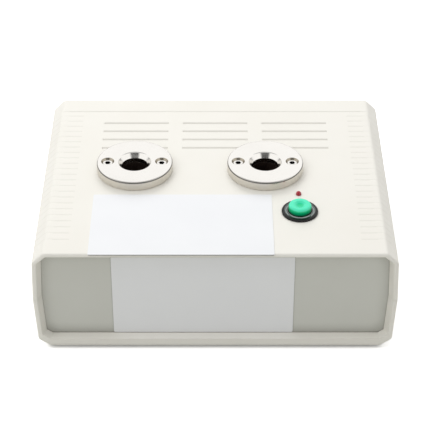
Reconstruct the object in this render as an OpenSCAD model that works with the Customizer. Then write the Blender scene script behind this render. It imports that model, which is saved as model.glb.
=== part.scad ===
// Bench tester for spark plugs: a two-part plastic case with slide-in end panels, two plated
// plug sockets with sprung contacts, a push button, a lamp and the high-voltage supply inside.
// Axes: +X to the right, +Y to the rear, +Z up. The origin lies on the table under the case's centre.

/* [Case] */
// Width of the case at its joint line
case_w = 200; // [196:1:240]
// Depth of the case from front lip to rear lip
case_d = 157; // [154:1:190]
// Height of the case without its feet
case_h = 64.2; // [62:0.1:80]
// Height of the joint line above the underside of the case
split_h = 32.5; // [28:0.5:38]
// Thickness of the case walls
wall = 2.5; // [2:0.1:3]
// How far each upper side wall leans in on its way to the roof
top_draft = 1; // [0.5:0.1:3]
// How far each lower side wall leans in on its way to the floor
low_draft = 1.4; // [0.5:0.1:3]
// Size of the bevel along each side of the roof
top_bevel = 6.4; // [4:0.1:8]
// Width of the bevel along each side of the floor
low_bevel = 6.3; // [4:0.1:9]
// Height of the bevel along each side of the floor
low_bevel_h = 4.5; // [3.5:0.1:9]
// Radius of the long outer corners
corner_r = 3; // [2:0.1:5]
// Radius of the rounded lip at the front and the rear
lip_r = 1.5; // [0.5:0.1:2]
// Gap that shows between the two halves of the case
seam = 0.2; // [0:0.05:0.4]
// Height of the tongue that lines up the two halves
tongue_h = 1.5; // [1:0.1:3]

/* [End panels] */
// Width of the lip at both sides of an end
lip_w = 2.6; // [2.2:0.1:4]
// Width of the lip along the roof
lip_high = 1.8; // [1.6:0.1:4]
// Width of the lip along the floor
lip_low = 5.2; // [4:0.1:6]
// Depth of the panel behind the lip
panel_set = 5.5; // [4:0.1:8]
// Thickness of the end panels
panel_t = 2; // [1.5:0.1:3]
// Reach of the panel frame in from the outside of the case
frame_in = 4.7; // [4.2:0.1:6]
// Depth of the slot that holds the edge of a panel
slot_deep = 1.6; // [1:0.1:2]
// Thickness of the rib behind a panel
rib_t = 2; // [1.5:0.1:3]

/* [Roof pattern] */
// Number of vent grooves in a column
vent_rows = 4; // [2:1:5]
// Number of vent columns
vent_columns = 3; // [1:1:3]
// Length of a vent groove
vent_l = 38.6; // [20:0.1:40]
// Width of a vent groove
vent_w = 1.9; // [0.8:0.1:2.5]
// Depth of a vent groove
vent_deep = 0.6; // [0.3:0.05:1.4]
// Distance between vent columns
vent_step_x = 47.2; // [42:0.1:52]
// Distance between vent rows
vent_step_y = 8.9; // [6:0.1:10]
// Distance of the first vent row from the rear lip
vent_rear = 27; // [20:0.1:30]
// Distance of the cross line from the rear lip
line_rear = 14; // [8:0.1:18]
// Width of the cross line
line_w = 1.2; // [0.5:0.1:1.5]
// Depth of the cross line
line_deep = 0.25; // [0.2:0.05:1]
// Number of grip grooves along each side
grip_count = 23; // [10:1:24]
// Distance between grip grooves
grip_step = 5.64; // [4:0.01:5.8]
// Length of a grip groove on the roof
grip_l = 13.2; // [8:0.1:16]
// Width of a grip groove
grip_w = 1.2; // [0.5:0.1:2]
// Depth of a grip groove
grip_deep = 0.15; // [0.1:0.05:0.6]
// Distance of the first grip groove from the front lip
grip_front = 13.8; // [12:0.1:20]

/* [Case fasteners and feet] */
// Diameter of the screw posts in the case
post_d = 9; // [8.6:0.1:11]
// Distance of the posts in from the edge of the roof
post_in = 8; // [7:0.1:12]
// Distance of the posts from the end lips
post_end = 19; // [17:0.5:24]
// Diameter of the case screws
case_screw_d = 3; // [2.5:0.1:3.5]
// Diameter of a case screw's head
case_screw_head = 6; // [5:0.1:6.2]
// Length of a case screw under its head
case_screw_l = 26; // [20:0.5:30]
// Depth of a case screw's head inside the case
case_screw_deep = 18; // [12:0.5:20]
// Diameter of a foot
foot_d = 14; // [10:0.5:18]
// Height of a foot under the case
foot_h = 1.8; // [1.5:0.1:5]
// Depth of a foot in its recess
foot_sunk = 1; // [0.5:0.1:1.5]
// Distance of the feet from the sides
foot_x = 32; // [28:1:50]
// Distance of the feet from the end lips
foot_end = 17; // [14:0.5:30]

/* [Plug sockets] */
// Distance between the two sockets
socket_step = 75; // [70:0.5:80]
// Place of the sockets' middle to the right of the case's middle
sockets_x = -8.75; // [-12:0.25:-4]
// Place of the sockets behind the case's middle
sockets_y = 2.5; // [0:0.5:5]
// Outer diameter of a socket ring
ring_d = 43.5; // [40:0.5:46]
// Thickness of a socket ring
ring_t = 5.6; // [5:0.1:8]
// Radius of the rounded outer edge of a socket ring
ring_round = 1; // [0.2:0.1:1.5]
// Diameter of the bore that takes the plug
bore_d = 15; // [14:0.1:16]
// Diameter of the countersink round the bore
seat_d = 20; // [18:0.1:22]
// Radius of the rounded rim of the countersink
seat_round = 1; // [0.5:0.1:1.5]
// Slope of the countersink
seat_angle = 55; // [40:1:60]
// Depth of the well below the top of a ring
well_deep = 27.5; // [22:0.5:29]
// Diameter of the circle that the ring's screws lie on
ring_screw_circle = 31; // [30:0.1:34]
// Diameter of the ring's screws
ring_screw_d = 3; // [2.5:0.1:4]
// Head diameter of the ring's screws
ring_screw_head = 5.5; // [5:0.1:6]
// Width of the hexagonal socket in the ring's screws
ring_screw_key = 2.9; // [2:0.1:3]
// Depth of the screws' heads below the top of a ring
ring_screw_sink = 1; // [0:0.1:1.2]
// Diameter of the holes that the screws' heads are sunk in
ring_hole_d = 7.5; // [6.4:0.1:8]
// Outer diameter of the insulating sleeve
sleeve_d = 22; // [20:0.1:23]
// Diameter of the sleeve's flange under the roof
sleeve_flange_d = 42; // [40:0.5:44]
// Thickness of the sleeve's flange
sleeve_flange_t = 3; // [2:0.1:4]
// Diameter of the neck that guides the contact
neck_d = 8.6; // [7.5:0.1:9.5]
// Length of the neck
neck_l = 3; // [2:0.1:4]
// Diameter of the spring chamber
chamber_d = 12; // [11:0.1:13]
// Length of the spring chamber
chamber_l = 21; // [18:0.5:22]
// Depth of the contact's tip below the neck's mouth
tip_below = 0.5; // [0.2:0.1:2]
// Travel of the sprung contacts
contact_travel = 8; // [4:0.5:9]
// Thickness of the contact's flange
contact_flange_t = 3; // [2:0.1:4]
// Diameter of the contact's stem inside the spring
contact_stem_d = 4; // [3:0.1:5]
// Length of the contact's stem
contact_stem_l = 8; // [4:0.1:8.5]
// Diameter of the contact spring's wire
contact_wire = 0.9; // [0.6:0.05:1]
// Number of turns in a contact spring
contact_turns = 7; // [4:1:8]
// Length of thread on the plug that closes a sleeve
end_plug_l = 6; // [4:0.1:8]
// Diameter of the closing plug's flange
end_plug_flange_d = 18; // [15:0.5:20]
// Thickness of the closing plug's flange
end_plug_flange_t = 2; // [1.5:0.1:3]
// Reach of the closing plug's solder tail from the socket's axis
tail_reach = 16; // [12:0.5:18]

/* [Button and lamp] */
// Place of the button and lamp to the right of the case's middle
button_x = 47; // [44:0.25:52]
// Distance of the button from the front lip
button_front = 39.2; // [33:0.1:43]
// Diameter of the button's bezel
bezel_d = 20.2; // [19:0.1:24]
// Height of the button's bezel
bezel_t = 1.4; // [0.8:0.1:3]
// Diameter of the button's threaded barrel
barrel_d = 16; // [15.4:0.1:18]
// Length of the barrel and housing below the roof's surface
barrel_l = 26; // [24:0.5:28]
// Diameter of the button's cap
cap_d = 12.8; // [11:0.1:13.6]
// Height of the cap above the roof
cap_rise = 5.2; // [4:0.1:9]
// Travel of the button
button_travel = 3; // [1:0.1:3]
// Diameter of the button's stem
stem_d = 5; // [4:0.1:6]
// Diameter of the button spring's wire
button_wire = 0.6; // [0.4:0.05:0.7]
// Number of turns in the button spring
button_turns = 5; // [3:1:6]
// Width across the flats of the button's nut
button_nut_w = 20; // [19:0.1:22]
// Thickness of the button's nut
button_nut_t = 3; // [2:0.1:4]
// Distance of the lamp from the front lip
lamp_front = 56; // [52:0.1:60]
// Diameter of the lamp's lens
lamp_d = 3; // [3:0.1:4]
// Height of the lamp's lens above its flange
lamp_h = 4.5; // [4:0.1:5]

/* [Circuit board] */
// Width of the circuit board
board_w = 100; // [98:1:110]
// Depth of the circuit board
board_d = 42; // [41:0.5:44]
// Thickness of the circuit board
board_t = 1.6; // [1:0.1:2]
// Height of the board's standoffs
standoff_h = 6; // [4:0.5:8]
// Distance of the board from the left side
board_left = 24; // [22:0.5:26]
// Distance of the board from the front lip
board_front = 16; // [14:0.5:17]
// Diameter of the small screws in the board, the straps and the inlet
small_screw_d = 3; // [2.5:0.1:3]
// Distance of the board's holes from its edges
board_hole_in = 4; // [3.5:0.1:5]
// Diameter of the board's standoffs
standoff_d = 6.5; // [6:0.1:8]

/* [Board parts] */
// Distance of the front parts from the board's front edge
part_edge = 1; // [0.5:0.1:2]
// Gap between neighbours on the board
part_gap = 2; // [1:0.1:3]
// Diameter of an electrolytic capacitor
capacitor_d = 13; // [10:0.5:16]
// Height of an electrolytic capacitor
capacitor_h = 25; // [20:0.5:30]
// Width of the film capacitor
film_w = 20; // [16:0.5:22]
// Depth of the film capacitor
film_d = 10; // [7:0.5:11]
// Height of the film capacitor
film_h = 18; // [12:0.5:20]
// Width of the heat sink
sink_w = 26; // [20:0.5:30]
// Height of the heat sink
sink_h = 24; // [18:0.5:28]
// Thickness of the heat sink's back
sink_t = 3; // [2:0.1:4]
// Number of fins on the heat sink
fin_count = 7; // [3:1:9]
// Thickness of a fin
fin_t = 1.4; // [0.8:0.1:2]
// Length of a fin
fin_l = 9; // [5:0.1:10]
// Width of the power transistor
transistor_w = 10; // [8:0.1:12]
// Thickness of the power transistor
transistor_t = 4.4; // [3:0.1:5]
// Height of the power transistor without its tab
transistor_h = 9; // [7:0.1:11]
// Height of the transistor's tab above its body
tab_h = 6.5; // [4:0.1:8]
// Thickness of the transistor's tab
tab_t = 1.2; // [0.8:0.1:1.5]
// Length of the transistor's leads
transistor_lead = 5; // [3:0.1:7]
// Length of the control chip
chip_l = 19; // [16:0.5:22]
// Width of the control chip
chip_w = 6.4; // [5:0.1:8]
// Height of the control chip
chip_h = 3.4; // [2.5:0.1:4]
// Number of leads on each side of the chip
chip_leads = 7; // [4:1:7]
// Distance between the leads of the chip and of the transistor
lead_step = 2.54; // [2:0.01:2.6]
// Width of a terminal block
block_w = 10; // [9:0.1:12]
// Depth of a terminal block
block_d = 9; // [7:0.1:10]
// Height of a terminal block
block_h = 11; // [9:0.1:13]
// Distance between the wires in a terminal block
block_step = 5; // [4:0.1:5.5]

/* [High-voltage coil] */
// Length of the coil's iron core
coil_l = 58; // [54:1:60]
// Thickness of the coil's iron core
coil_t = 14; // [10:0.5:16]
// Height of the coil's iron core
coil_h = 38; // [34:1:40]
// Width of a leg of the coil's core
coil_leg = 8; // [6:0.5:9]
// Depth of the potted block
potted_d = 34; // [30:0.5:36]
// Distance of the coil from the rear lip
coil_rear = 32; // [30:0.5:33]
// Diameter of a high-voltage tower
tower_d = 9; // [7:0.5:10]
// Length of a high-voltage tower
tower_l = 8; // [5:0.5:9]
// Distance of the towers from the coil's middle
tower_x = 12; // [9:0.5:14]

/* [Mains transformer] */
// Length of the transformer's core
mains_l = 41; // [38:1:44]
// Thickness of the transformer's core
mains_t = 18; // [14:0.5:18]
// Height of the transformer's core
mains_h = 34; // [30:1:38]
// Width of a leg of the transformer's core
mains_leg = 6.5; // [5:0.5:7]
// Depth of the transformer's winding
winding_d = 32; // [28:0.5:32]
// Distance of the transformer's middle from the left side
mains_left = 32; // [31:0.5:32.5]
// Distance of the transformer's middle from the rear lip
mains_back = 41.5; // [41:0.5:42]

/* [Core straps] */
// Thickness of the straps that hold the iron cores
strap_t = 1.2; // [0.8:0.1:1.5]
// Width of a strap
strap_w = 12; // [10:0.5:12]
// Length of a strap's ear
ear_l = 9; // [8:0.5:9]
// Height of the pads under the cores
pad_h = 3; // [2:0.1:4]

/* [Power inlet] */
// Distance of the inlet's middle from the right side
inlet_x = 42; // [40:0.5:44]
// Height of the inlet's middle above the underside of the case
inlet_h = 31; // [29:0.5:33]
// Width of the inlet's flange
inlet_flange_w = 50; // [48:0.5:52]
// Height of the inlet's flange
inlet_flange_h = 34; // [33:0.5:36]
// Thickness of the inlet's flange
inlet_flange_t = 2.5; // [1.5:0.1:3]
// Width of the inlet's body
inlet_w = 27; // [26.6:0.1:28]
// Height of the inlet's body
inlet_body_h = 31; // [30.5:0.1:32]
// Depth of the inlet's body behind its flange
inlet_deep = 22; // [20:0.5:23]
// Distance between the inlet's screws
inlet_screw_step = 40; // [38:0.5:42]
// Width of the socket in the inlet
mouth_w = 24.2; // [23.5:0.1:24.6]
// Height of the socket in the inlet
mouth_h = 16.4; // [15.6:0.1:16.8]
// Depth of the socket in the inlet
mouth_deep = 17; // [15:0.5:18]
// Width of the fuse drawer
drawer_w = 22; // [21:0.1:24]
// Height of the fuse drawer
drawer_h = 8.6; // [8.2:0.1:9]
// Depth of the fuse drawer
drawer_d = 18; // [14:0.5:19]

/* [Hidden] */
$fn = 64;
arc_steps = 4;
eps = 0.01;
// Clearances: sliding pieces, loose holes, threads and fixed seats
slide_gap = 0.05;
hole_gap = 0.15;
thread_gap = 0.03;
seat_gap = 0.1;
over = 1;

// Colours
shell_colour = [0.95, 0.93, 0.88];
panel_colour = [0.66, 0.66, 0.62];
plated_colour = [0.86, 0.85, 0.82];
black_colour = [0.08, 0.08, 0.08];
brass_colour = [0.80, 0.65, 0.30];
iron_colour = [0.45, 0.45, 0.47];

// Levels of the case
base_z = foot_h;
floor_z = base_z + wall;
split_z = base_z + split_h;
top_z = base_z + case_h;
roof_z = top_z - wall;
front_y = -case_d / 2;
rear_y = case_d / 2;

// Sharp outline of the case seen from the front, counter-clockwise from the lower right corner
side_x = case_w / 2;
low_x = side_x - low_draft;
high_x = side_x - top_draft;
roof_x = high_x - top_bevel;
right_side = [[low_x - low_bevel, base_z], [low_x, base_z + low_bevel_h], [side_x, split_z],
    [high_x, top_z - top_bevel], [roof_x, top_z]];
outline = concat(right_side, [for (i = [4 : -1 : 0]) [-right_side[i].x, right_side[i].y]]);

// Panels and their frames
panel_in = frame_in - slot_deep + seat_gap;
sill_h = lip_low + 0.2;
slot_end = panel_set + panel_t + 2 * seat_gap;
frame_end = slot_end + rib_t;
rear_face_y = rear_y - panel_set - seat_gap;

// Case posts and feet
post_x = roof_x - post_in;
post_y = rear_y - post_end;
foot_mid_x = side_x - foot_x;
foot_y = rear_y - foot_end;
post_head_z = base_z + case_screw_deep;

// Sockets
ring_top = top_z + ring_t;
seat_deep = seat_round * (1 - cos(seat_angle))
    + ((seat_d - bore_d) / 2 - seat_round * sin(seat_angle)) * tan(seat_angle);
shoulder_z = ring_top - well_deep;
neck_z = shoulder_z - neck_l;
end_plug_z = neck_z - chamber_l;
sleeve_z = end_plug_z - end_plug_l;
flange_z = roof_z - sleeve_flange_t;
washer_t = 0.8;
washer_d = 9;
nut_t = 0.8 * ring_screw_d;
ring_nut_w = 1.85 * ring_screw_d;
ring_head_h = ring_screw_d;
nut_top = flange_z - washer_t;
tail_t = 1.2;
tail_w = 3;
tail_z = sleeve_z - end_plug_flange_t;
contact_flange_top = neck_z - seat_gap;
contact_flange_z = contact_flange_top - contact_flange_t;
contact_spring_r = (chamber_d - contact_wire) / 2 - 1;

// Button
button_y = front_y + button_front;
bezel_top = top_z + bezel_t;
cap_bore_deep = 8;
cap_floor_z = bezel_top - cap_bore_deep;
barrel_floor_t = 2;
bridge_t = 0.8;
bridge_d = 9;
bridge_top = cap_floor_z - barrel_floor_t - seat_gap;
contact_z = bridge_top - bridge_t - button_travel - slide_gap;
barrel_z = top_z - barrel_l;
button_base_t = 3;
cap_hollow_d = 9.6;
cap_roof_t = 4;
cap_hollow_z = top_z + cap_rise - cap_roof_t;
button_spring_r = (cap_hollow_d - button_wire) / 2 - 0.6;
terminal_x = 3.5;
terminal_w = 3;
terminal_t = 0.8;
terminal_l = 8;
terminal_z = barrel_z - terminal_l;
housing_r = barrel_d / 2 - 0.8;
button_chamber_r = housing_r - 1.8;

// Lamp
lamp_y = front_y + lamp_front;
lamp_flange_t = 1;
lamp_flange_z = roof_z - lamp_flange_t;
lamp_lead_x = 1.27;
lamp_lead_z = lamp_flange_z - 14;

// Board
board_x = -side_x + board_left + board_w / 2;
board_y = front_y + board_front + board_d / 2;
board_z = floor_z + standoff_h;
board_top = board_z + board_t;
board_hole_x = board_w / 2 - board_hole_in;
board_hole_y = board_d / 2 - board_hole_in;
small_head_d = 1.85 * small_screw_d;
small_head_h = 2;
block_wire_z = board_top + block_h / 2;
block_wire_x = block_step / 2;

// Parts in front on the board from left to right: capacitors, film capacitor, heat sink
part_front_y = -board_d / 2 + part_edge;
capacitor_x = [for (i = [0, 1])
    -board_w / 2 + part_gap + capacitor_d / 2 + i * (capacitor_d + part_gap)];
capacitor_y = -board_hole_y + (small_head_d + capacitor_d) / 2 + part_gap;
sink_x = board_w / 2 - block_d - part_gap - sink_w / 2;
film_x = (capacitor_x[1] + capacitor_d / 2 + sink_x - sink_w / 2) / 2;

// Coil and transformer
pad_z = floor_z + pad_h;
coil_x = sockets_x;
coil_y = rear_y - coil_rear;
coil_front_y = coil_y - potted_d / 2;
tower_z = pad_z + coil_h / 2 + 3;
mains_x = -side_x + mains_left;
mains_y = rear_y - mains_back;
strap_screw_out = 5;
seat_pad = 6;
seat_boss_d = 7;

// Terminal blocks: two at the rear edge of the board and two at its right edge
rear_block_x = [-board_w / 2 + 2 * board_hole_in + block_w / 2 + 3, coil_x - board_x];
right_block_y = [-block_w / 2 + 1, block_w / 2 + 3];

// Inlet
inlet_mid_x = side_x - inlet_x;
inlet_z = base_z + inlet_h;
inlet_inner_y = rear_face_y - inlet_deep;
inlet_outer_y = rear_face_y + inlet_flange_t;
mouth_z = inlet_z + 5.6;
drawer_z = inlet_z - 9.4;
pin_l = mouth_deep - 2;
tab_l = 8;
inlet_pin_places = [[-7, -2], [7, -2], [0, 2]];
pin_w = 2;
pin_h = 4;
inlet_nut_t = 2.4;

// Fuse in the front part of its drawer
fuse_l = 19.8;
fuse_d = 5;
fuse_cap_l = 5;
fuse_wall = 0.6;
fuse_end_t = 1;
tray_wall = 1;
tray_d = 8;
fuse_y = inlet_outer_y - drawer_d + tray_wall + tray_d / 2;
fuse_z = drawer_z - drawer_h / 2 + tray_wall + fuse_d / 2;

// Wires
hv_d = 3.5;
mains_d = 2;
signal_d = 1.4;
lamp_wire_d = 1.2;

function unit(v) = v / norm(v);
function left(v) = [-v.y, v.x];
function turned(v, a) = [v.x * cos(a) - v.y * sin(a), v.x * sin(a) + v.y * cos(a)];
function corner(p, i) = p[(i + len(p)) % len(p)];
function corners(x, y) = [for (sx = [-1, 1], sy = [-1, 1]) [sx * x, sy * y, 0]];
function socket(side) = [sockets_x + side * socket_step / 2, sockets_y, 0];

// Closed convex outline with each side moved inwards by d
function inset(p, d) = [for (i = [0 : len(p) - 1])
    let (n1 = left(unit(p[i] - corner(p, i - 1))), n2 = left(unit(corner(p, i + 1) - p[i])))
    p[i] + (n1 + n2) * d / (1 + n1 * n2)];

// Closed convex outline with its corners rounded to radius r
function rounded(p, r) = [for (i = [0 : len(p) - 1])
    let (u1 = unit(p[i] - corner(p, i - 1)), u2 = unit(corner(p, i + 1) - p[i]),
        turn = acos(u1 * u2), centre = p[i] - u1 * r * tan(turn / 2) + left(u1) * r)
    for (k = [0 : arc_steps]) centre - turned(left(u1), turn * k / arc_steps) * r];

// Points on a circle about a centre, from one angle to another
function arc(centre, r, from, to, steps = 2 * arc_steps) = [for (k = [0 : steps])
    let (a = from + (to - from) * k / steps) centre + r * [cos(a), sin(a)]];

// Outline stretched upright until it leaves the given margins inside the case's outline
function between_levels(p, low, high) =
    let (z = [for (q = p) q.y], scale = (case_h - low - high) / (max(z) - min(z)))
    [for (q = p) [q.x, base_z + low + (q.y - min(z)) * scale]];

function upright(p, y) = [for (q = p) [q.x, y, q.y]];

// Point on the smooth curve from b to c, with a and d as the points before and after them
function between(a, b, c, d, t) =
    b + ((c - a) * t + (2 * a - 5 * b + 4 * c - d) * t * t + (3 * b - a - 3 * c + d) * t * t * t) / 2;

// Smooth route through a list of points that leaves its ends straight
function route(p, steps) = concat([p[0]], [for (i = [1 : len(p) - 3], k = [0 : steps - 1])
    between(p[i - 1], p[i], p[i + 1], p[i + 2], k / steps)], [p[len(p) - 2], p[len(p) - 1]]);

// Points along a coil that rises from z0 to z1
function helix(r, z0, z1, turns, steps = 8) = [for (i = [0 : turns * steps])
    [r * cos(360 * i / steps), r * sin(360 * i / steps), z0 + (z1 - z0) * i / (turns * steps)]];

// Least gap between the turns of a coil of wire
function least_gap(p, d, steps = 8) = min([for (i = [0 : len(p) - 1], j = [i + steps / 2 : len(p) - 1])
    if (j < len(p)) norm(p[i] - p[j])]) - d;

function tangents(p) = [for (i = [0 : len(p) - 1]) unit(p[min(i + 1, len(p) - 1)] - p[max(i - 1, 0)])];
function any_side(t) = unit(cross(t, abs(t.z) < 0.9 ? [0, 0, 1] : [1, 0, 0]));
function carried(v, t) = unit(v - t * (v * t));
function side_vectors(t) = [for (i = 0, v = any_side(t[0]); i < len(t);
    i = i + 1, v = i < len(t) ? carried(v, t[i]) : v) v];

// Solid through a row of rings that have the same number of points, first ring in front
module loft(rings) {
    n = len(rings[0]);
    m = len(rings);
    polyhedron(
        points = [for (ring = rings) each ring],
        faces = concat(
            [[for (i = [n - 1 : -1 : 0]) i]],
            [[for (i = [0 : n - 1]) (m - 1) * n + i]],
            [for (j = [0 : m - 2], i = [0 : n - 1])
                let (a = j * n + i, b = j * n + (i + 1) % n) each [[a, b, b + n], [a, b + n, a + n]]]));
}

// Round wire along a path
module tube(path, d, sides = 8) {
    t = tangents(path);
    v = side_vectors(t);
    last = len(path) - 1;
    polyhedron(
        points = [for (i = [0 : last], k = [0 : sides - 1])
            path[i] + (v[i] * cos(360 * k / sides) + cross(t[i], v[i]) * sin(360 * k / sides)) * d / 2],
        faces = concat(
            [[for (k = [0 : sides - 1]) k]],
            [[for (k = [sides - 1 : -1 : 0]) last * sides + k]],
            [for (i = [0 : last - 1], k = [0 : sides - 1])
                let (a = i * sides + k, b = i * sides + (k + 1) % sides)
                each [[a, a + sides, b + sides], [a, b + sides, b]]]));
}

// Outline in X and Z drawn out along Y
module prism(points, y0, y1) {
    translate([0, y1, 0])
        rotate([90, 0, 0])
            linear_extrude(y1 - y0)
                polygon(points);
}

// Box with its middle over a place and its underside at that place's height
module block(size, place) {
    translate(place - [size.x / 2, size.y / 2, 0])
        cube(size);
}

module disc(d, z0, z1) {
    translate([0, 0, z0])
        cylinder(d = d, h = z1 - z0);
}

// Screw that points down, with the top of its head at the origin and a cross recess in it,
// or a hexagonal socket if a key width is given
module screw(d, l, head_d, head_h, key = 0) {
    slot = head_d * 0.14;
    difference() {
        union() {
            disc(head_d, -head_h, 0);
            disc(d, -head_h - l, -head_h + eps);
        }
        if (key > 0)
            translate([0, 0, -head_h * 0.6])
                cylinder(d = key / cos(30), h = head_h, $fn = 6);
        else
            for (a = [0, 90])
                rotate(a)
                    block([head_d * 0.56, slot, head_h], [0, 0, -head_h * 0.6]);
    }
}

module nut(w, t, bore) {
    difference() {
        cylinder(d = w / cos(30), h = t, $fn = 6);
        disc(bore, -over, t + over);
    }
}

module both_ends() {
    children();
    mirror([0, 1, 0]) children();
}

// The case as one block, with rounded lips at both ends
module case_block() {
    lip = [for (a = [0 : 30 : 90]) [front_y + lip_r * (1 - cos(a)), lip_r * (1 - sin(a))]];
    sections = concat(lip, [for (i = [len(lip) - 1 : -1 : 0]) [-lip[i].x, lip[i].y]]);
    loft([for (s = sections) upright(rounded(inset(outline, s.y), corner_r - s.y), s.x)]);
}

// Bevelled mouth, panel slot and rib opening at the front end
module end_cuts() {
    mouth = between_levels(inset(outline, lip_w), lip_low, lip_high);
    opening = between_levels(inset(outline, frame_in), sill_h, frame_in);
    loft([upright(mouth + (mouth - opening) * over / panel_set, front_y - over),
        upright(opening, front_y + panel_set)]);
    prism(opening, front_y + panel_set - eps, front_y + frame_end + eps);
    prism(inset(outline, frame_in - slot_deep), front_y + panel_set, front_y + slot_end);
}

module hollow_case() {
    difference() {
        case_block();
        both_ends() end_cuts();
        prism(inset(outline, wall), front_y + frame_end, rear_y - frame_end);
    }
}

module level_slab(z0, z1) {
    block([2 * case_w, 2 * case_d, z1 - z0], [0, 0, z0]);
}

// Band along both side walls at the joint line, from one depth in the wall to another
module joint_band(from, to, z0, z1) {
    intersection() {
        difference() {
            prism(inset(outline, from), front_y + frame_end, rear_y - frame_end);
            prism(inset(outline, to), front_y, rear_y);
        }
        level_slab(z0, z1);
    }
}

// Groove in the roof along X, with sloping sides
module roof_groove(l, w, deep, x, y) {
    reach = (deep + over) / deep * w / 2;
    translate([x - l / 2, y, top_z])
        rotate([90, 0, 90])
            linear_extrude(l)
                polygon([[0, -deep], [reach, over], [-reach, over]]);
}

module roof_grooves() {
    for (column = [0 : vent_columns - 1], row = [0 : vent_rows - 1])
        roof_groove(vent_l, vent_w, vent_deep, (column - (vent_columns - 1) / 2) * vent_step_x,
            rear_y - vent_rear - row * vent_step_y);
    roof_groove(2 * roof_x, line_w, line_deep, 0, rear_y - line_rear);
}

// Shallow grooves from the roof over the bevels, left by a core with waists along the case's outline
module grip_grooves() {
    reach = grip_l + side_x - roof_x;
    first_y = front_y + grip_front;
    l = (grip_count - 1) * grip_step;
    waists = [for (i = [0 : grip_count - 1], s = [-1, 0, 1])
        [first_y + i * grip_step + s * grip_w / 2, s == 0 ? grip_deep : -eps]];
    difference() {
        for (side = [-1, 1])
            block([reach, l + grip_w - eps, top_bevel + over],
                [side * (side_x - reach / 2), first_y + l / 2, top_z - top_bevel]);
        loft([for (w = waists) upright(rounded(inset(outline, w.y), corner_r - w.y), w.x)]);
    }
}

module ring_screw_places(side) {
    for (s = [-1, 1])
        translate(socket(side) + [s * ring_screw_circle / 2, 0, 0])
            children();
}

module roof_holes() {
    for (side = [-1, 1]) {
        translate(socket(side))
            disc(sleeve_d + 2 * hole_gap, roof_z - over, top_z + over);
        ring_screw_places(side)
            disc(ring_screw_d + 2 * hole_gap, roof_z - over, top_z + over);
    }
    translate([button_x, button_y, 0])
        disc(barrel_d + 2 * hole_gap, roof_z - over, top_z + over);
    translate([button_x, lamp_y, 0])
        disc(lamp_d + hole_gap, roof_z - over, top_z + over);
}

module top_shell() {
    color(shell_colour)
        difference() {
            union() {
                intersection() {
                    hollow_case();
                    level_slab(split_z, top_z + over);
                }
                for (p = corners(post_x, post_y))
                    translate(p) disc(post_d, split_z, roof_z + wall / 2);
            }
            joint_band(wall / 2, wall + over, split_z - over, split_z + tongue_h + seat_gap);
            for (p = corners(post_x, post_y))
                translate(p)
                    disc(case_screw_d + 2 * thread_gap, split_z - over, post_head_z + case_screw_l + over);
            roof_grooves();
            grip_grooves();
            roof_holes();
        }
}

// Pads and bosses under a strapped core that lies along X
module core_seat(l) {
    for (s = [-1, 1]) {
        block([seat_pad, strap_w, pad_h + wall / 2],
            [s * (l / 2 - seat_pad), 0, pad_z - pad_h - wall / 2]);
        translate([s * (l / 2 + strap_t + strap_screw_out), 0, 0])
            disc(seat_boss_d, floor_z - wall / 2, pad_z);
    }
}

module core_seat_holes(l) {
    for (s = [-1, 1])
        translate([s * (l / 2 + strap_t + strap_screw_out), 0, 0])
            disc(small_screw_d + 2 * thread_gap, floor_z - wall / 4, pad_z + over);
}

module on_coil() {
    translate([coil_x, coil_y, 0]) children();
}

module on_transformer() {
    translate([mains_x, mains_y, 0]) rotate(90) children();
}

module board_holes() {
    translate([board_x, board_y, 0])
        for (p = corners(board_hole_x, board_hole_y))
            translate(p) children();
}

module bottom_shell() {
    color(shell_colour)
        difference() {
            union() {
                intersection() {
                    hollow_case();
                    level_slab(base_z - over, split_z - seam);
                }
                joint_band(wall / 2 + seat_gap, wall, split_z - seam - wall, split_z + tongue_h);
                for (p = corners(post_x, post_y))
                    translate(p) disc(post_d, floor_z - wall / 2, split_z);
                board_holes() disc(standoff_d, floor_z - wall / 2, board_z);
                on_coil() core_seat(coil_l);
                on_transformer() core_seat(mains_l);
            }
            for (p = corners(post_x, post_y))
                translate(p) {
                    disc(case_screw_d + 2 * hole_gap, base_z - over, split_z + over);
                    disc(case_screw_head + 2 * hole_gap, base_z - over, post_head_z);
                }
            for (p = corners(foot_mid_x, foot_y))
                translate(p) disc(foot_d + 2 * seat_gap, base_z - over, base_z + foot_sunk);
            board_holes() disc(small_screw_d + 2 * thread_gap, floor_z - wall / 4, board_z + over);
            on_coil() core_seat_holes(coil_l);
            on_transformer() core_seat_holes(mains_l);
        }
}

module panel_plate() {
    face_y = front_y + panel_set + seat_gap;
    prism(inset(outline, panel_in), face_y, face_y + panel_t);
}

module front_panel() {
    color(panel_colour) panel_plate();
}

module inlet_screw_places() {
    for (s = [-1, 1])
        translate([inlet_mid_x + s * inlet_screw_step / 2, rear_face_y, inlet_z])
            rotate([-90, 0, 0])
                children();
}

module rear_panel() {
    color(panel_colour)
        difference() {
            mirror([0, 1, 0]) panel_plate();
            translate([inlet_mid_x, rear_face_y, inlet_z])
                cube([inlet_w + 2 * hole_gap, 4 * panel_t, inlet_body_h + 2 * hole_gap], center = true);
            inlet_screw_places()
                disc(small_screw_d + 2 * hole_gap, -2 * panel_t, over);
        }
}

module rubber_feet() {
    foot_edge = 1;
    color([0.12, 0.12, 0.12])
        for (p = corners(foot_mid_x, foot_y))
            translate(p)
                rotate_extrude()
                    polygon([[0, 0], [foot_d / 2 - 2 * foot_edge, 0], [foot_d / 2 - foot_edge, foot_edge],
                        [foot_d / 2, base_z], [foot_d / 2, base_z + foot_sunk], [0, base_z + foot_sunk]]);
}

module case_screws() {
    head_h = 2.4;
    color(iron_colour)
        for (p = corners(post_x, post_y))
            translate(p + [0, 0, post_head_z - head_h])
                mirror([0, 0, 1])
                    screw(case_screw_d, case_screw_l, case_screw_head, head_h);
}

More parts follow.
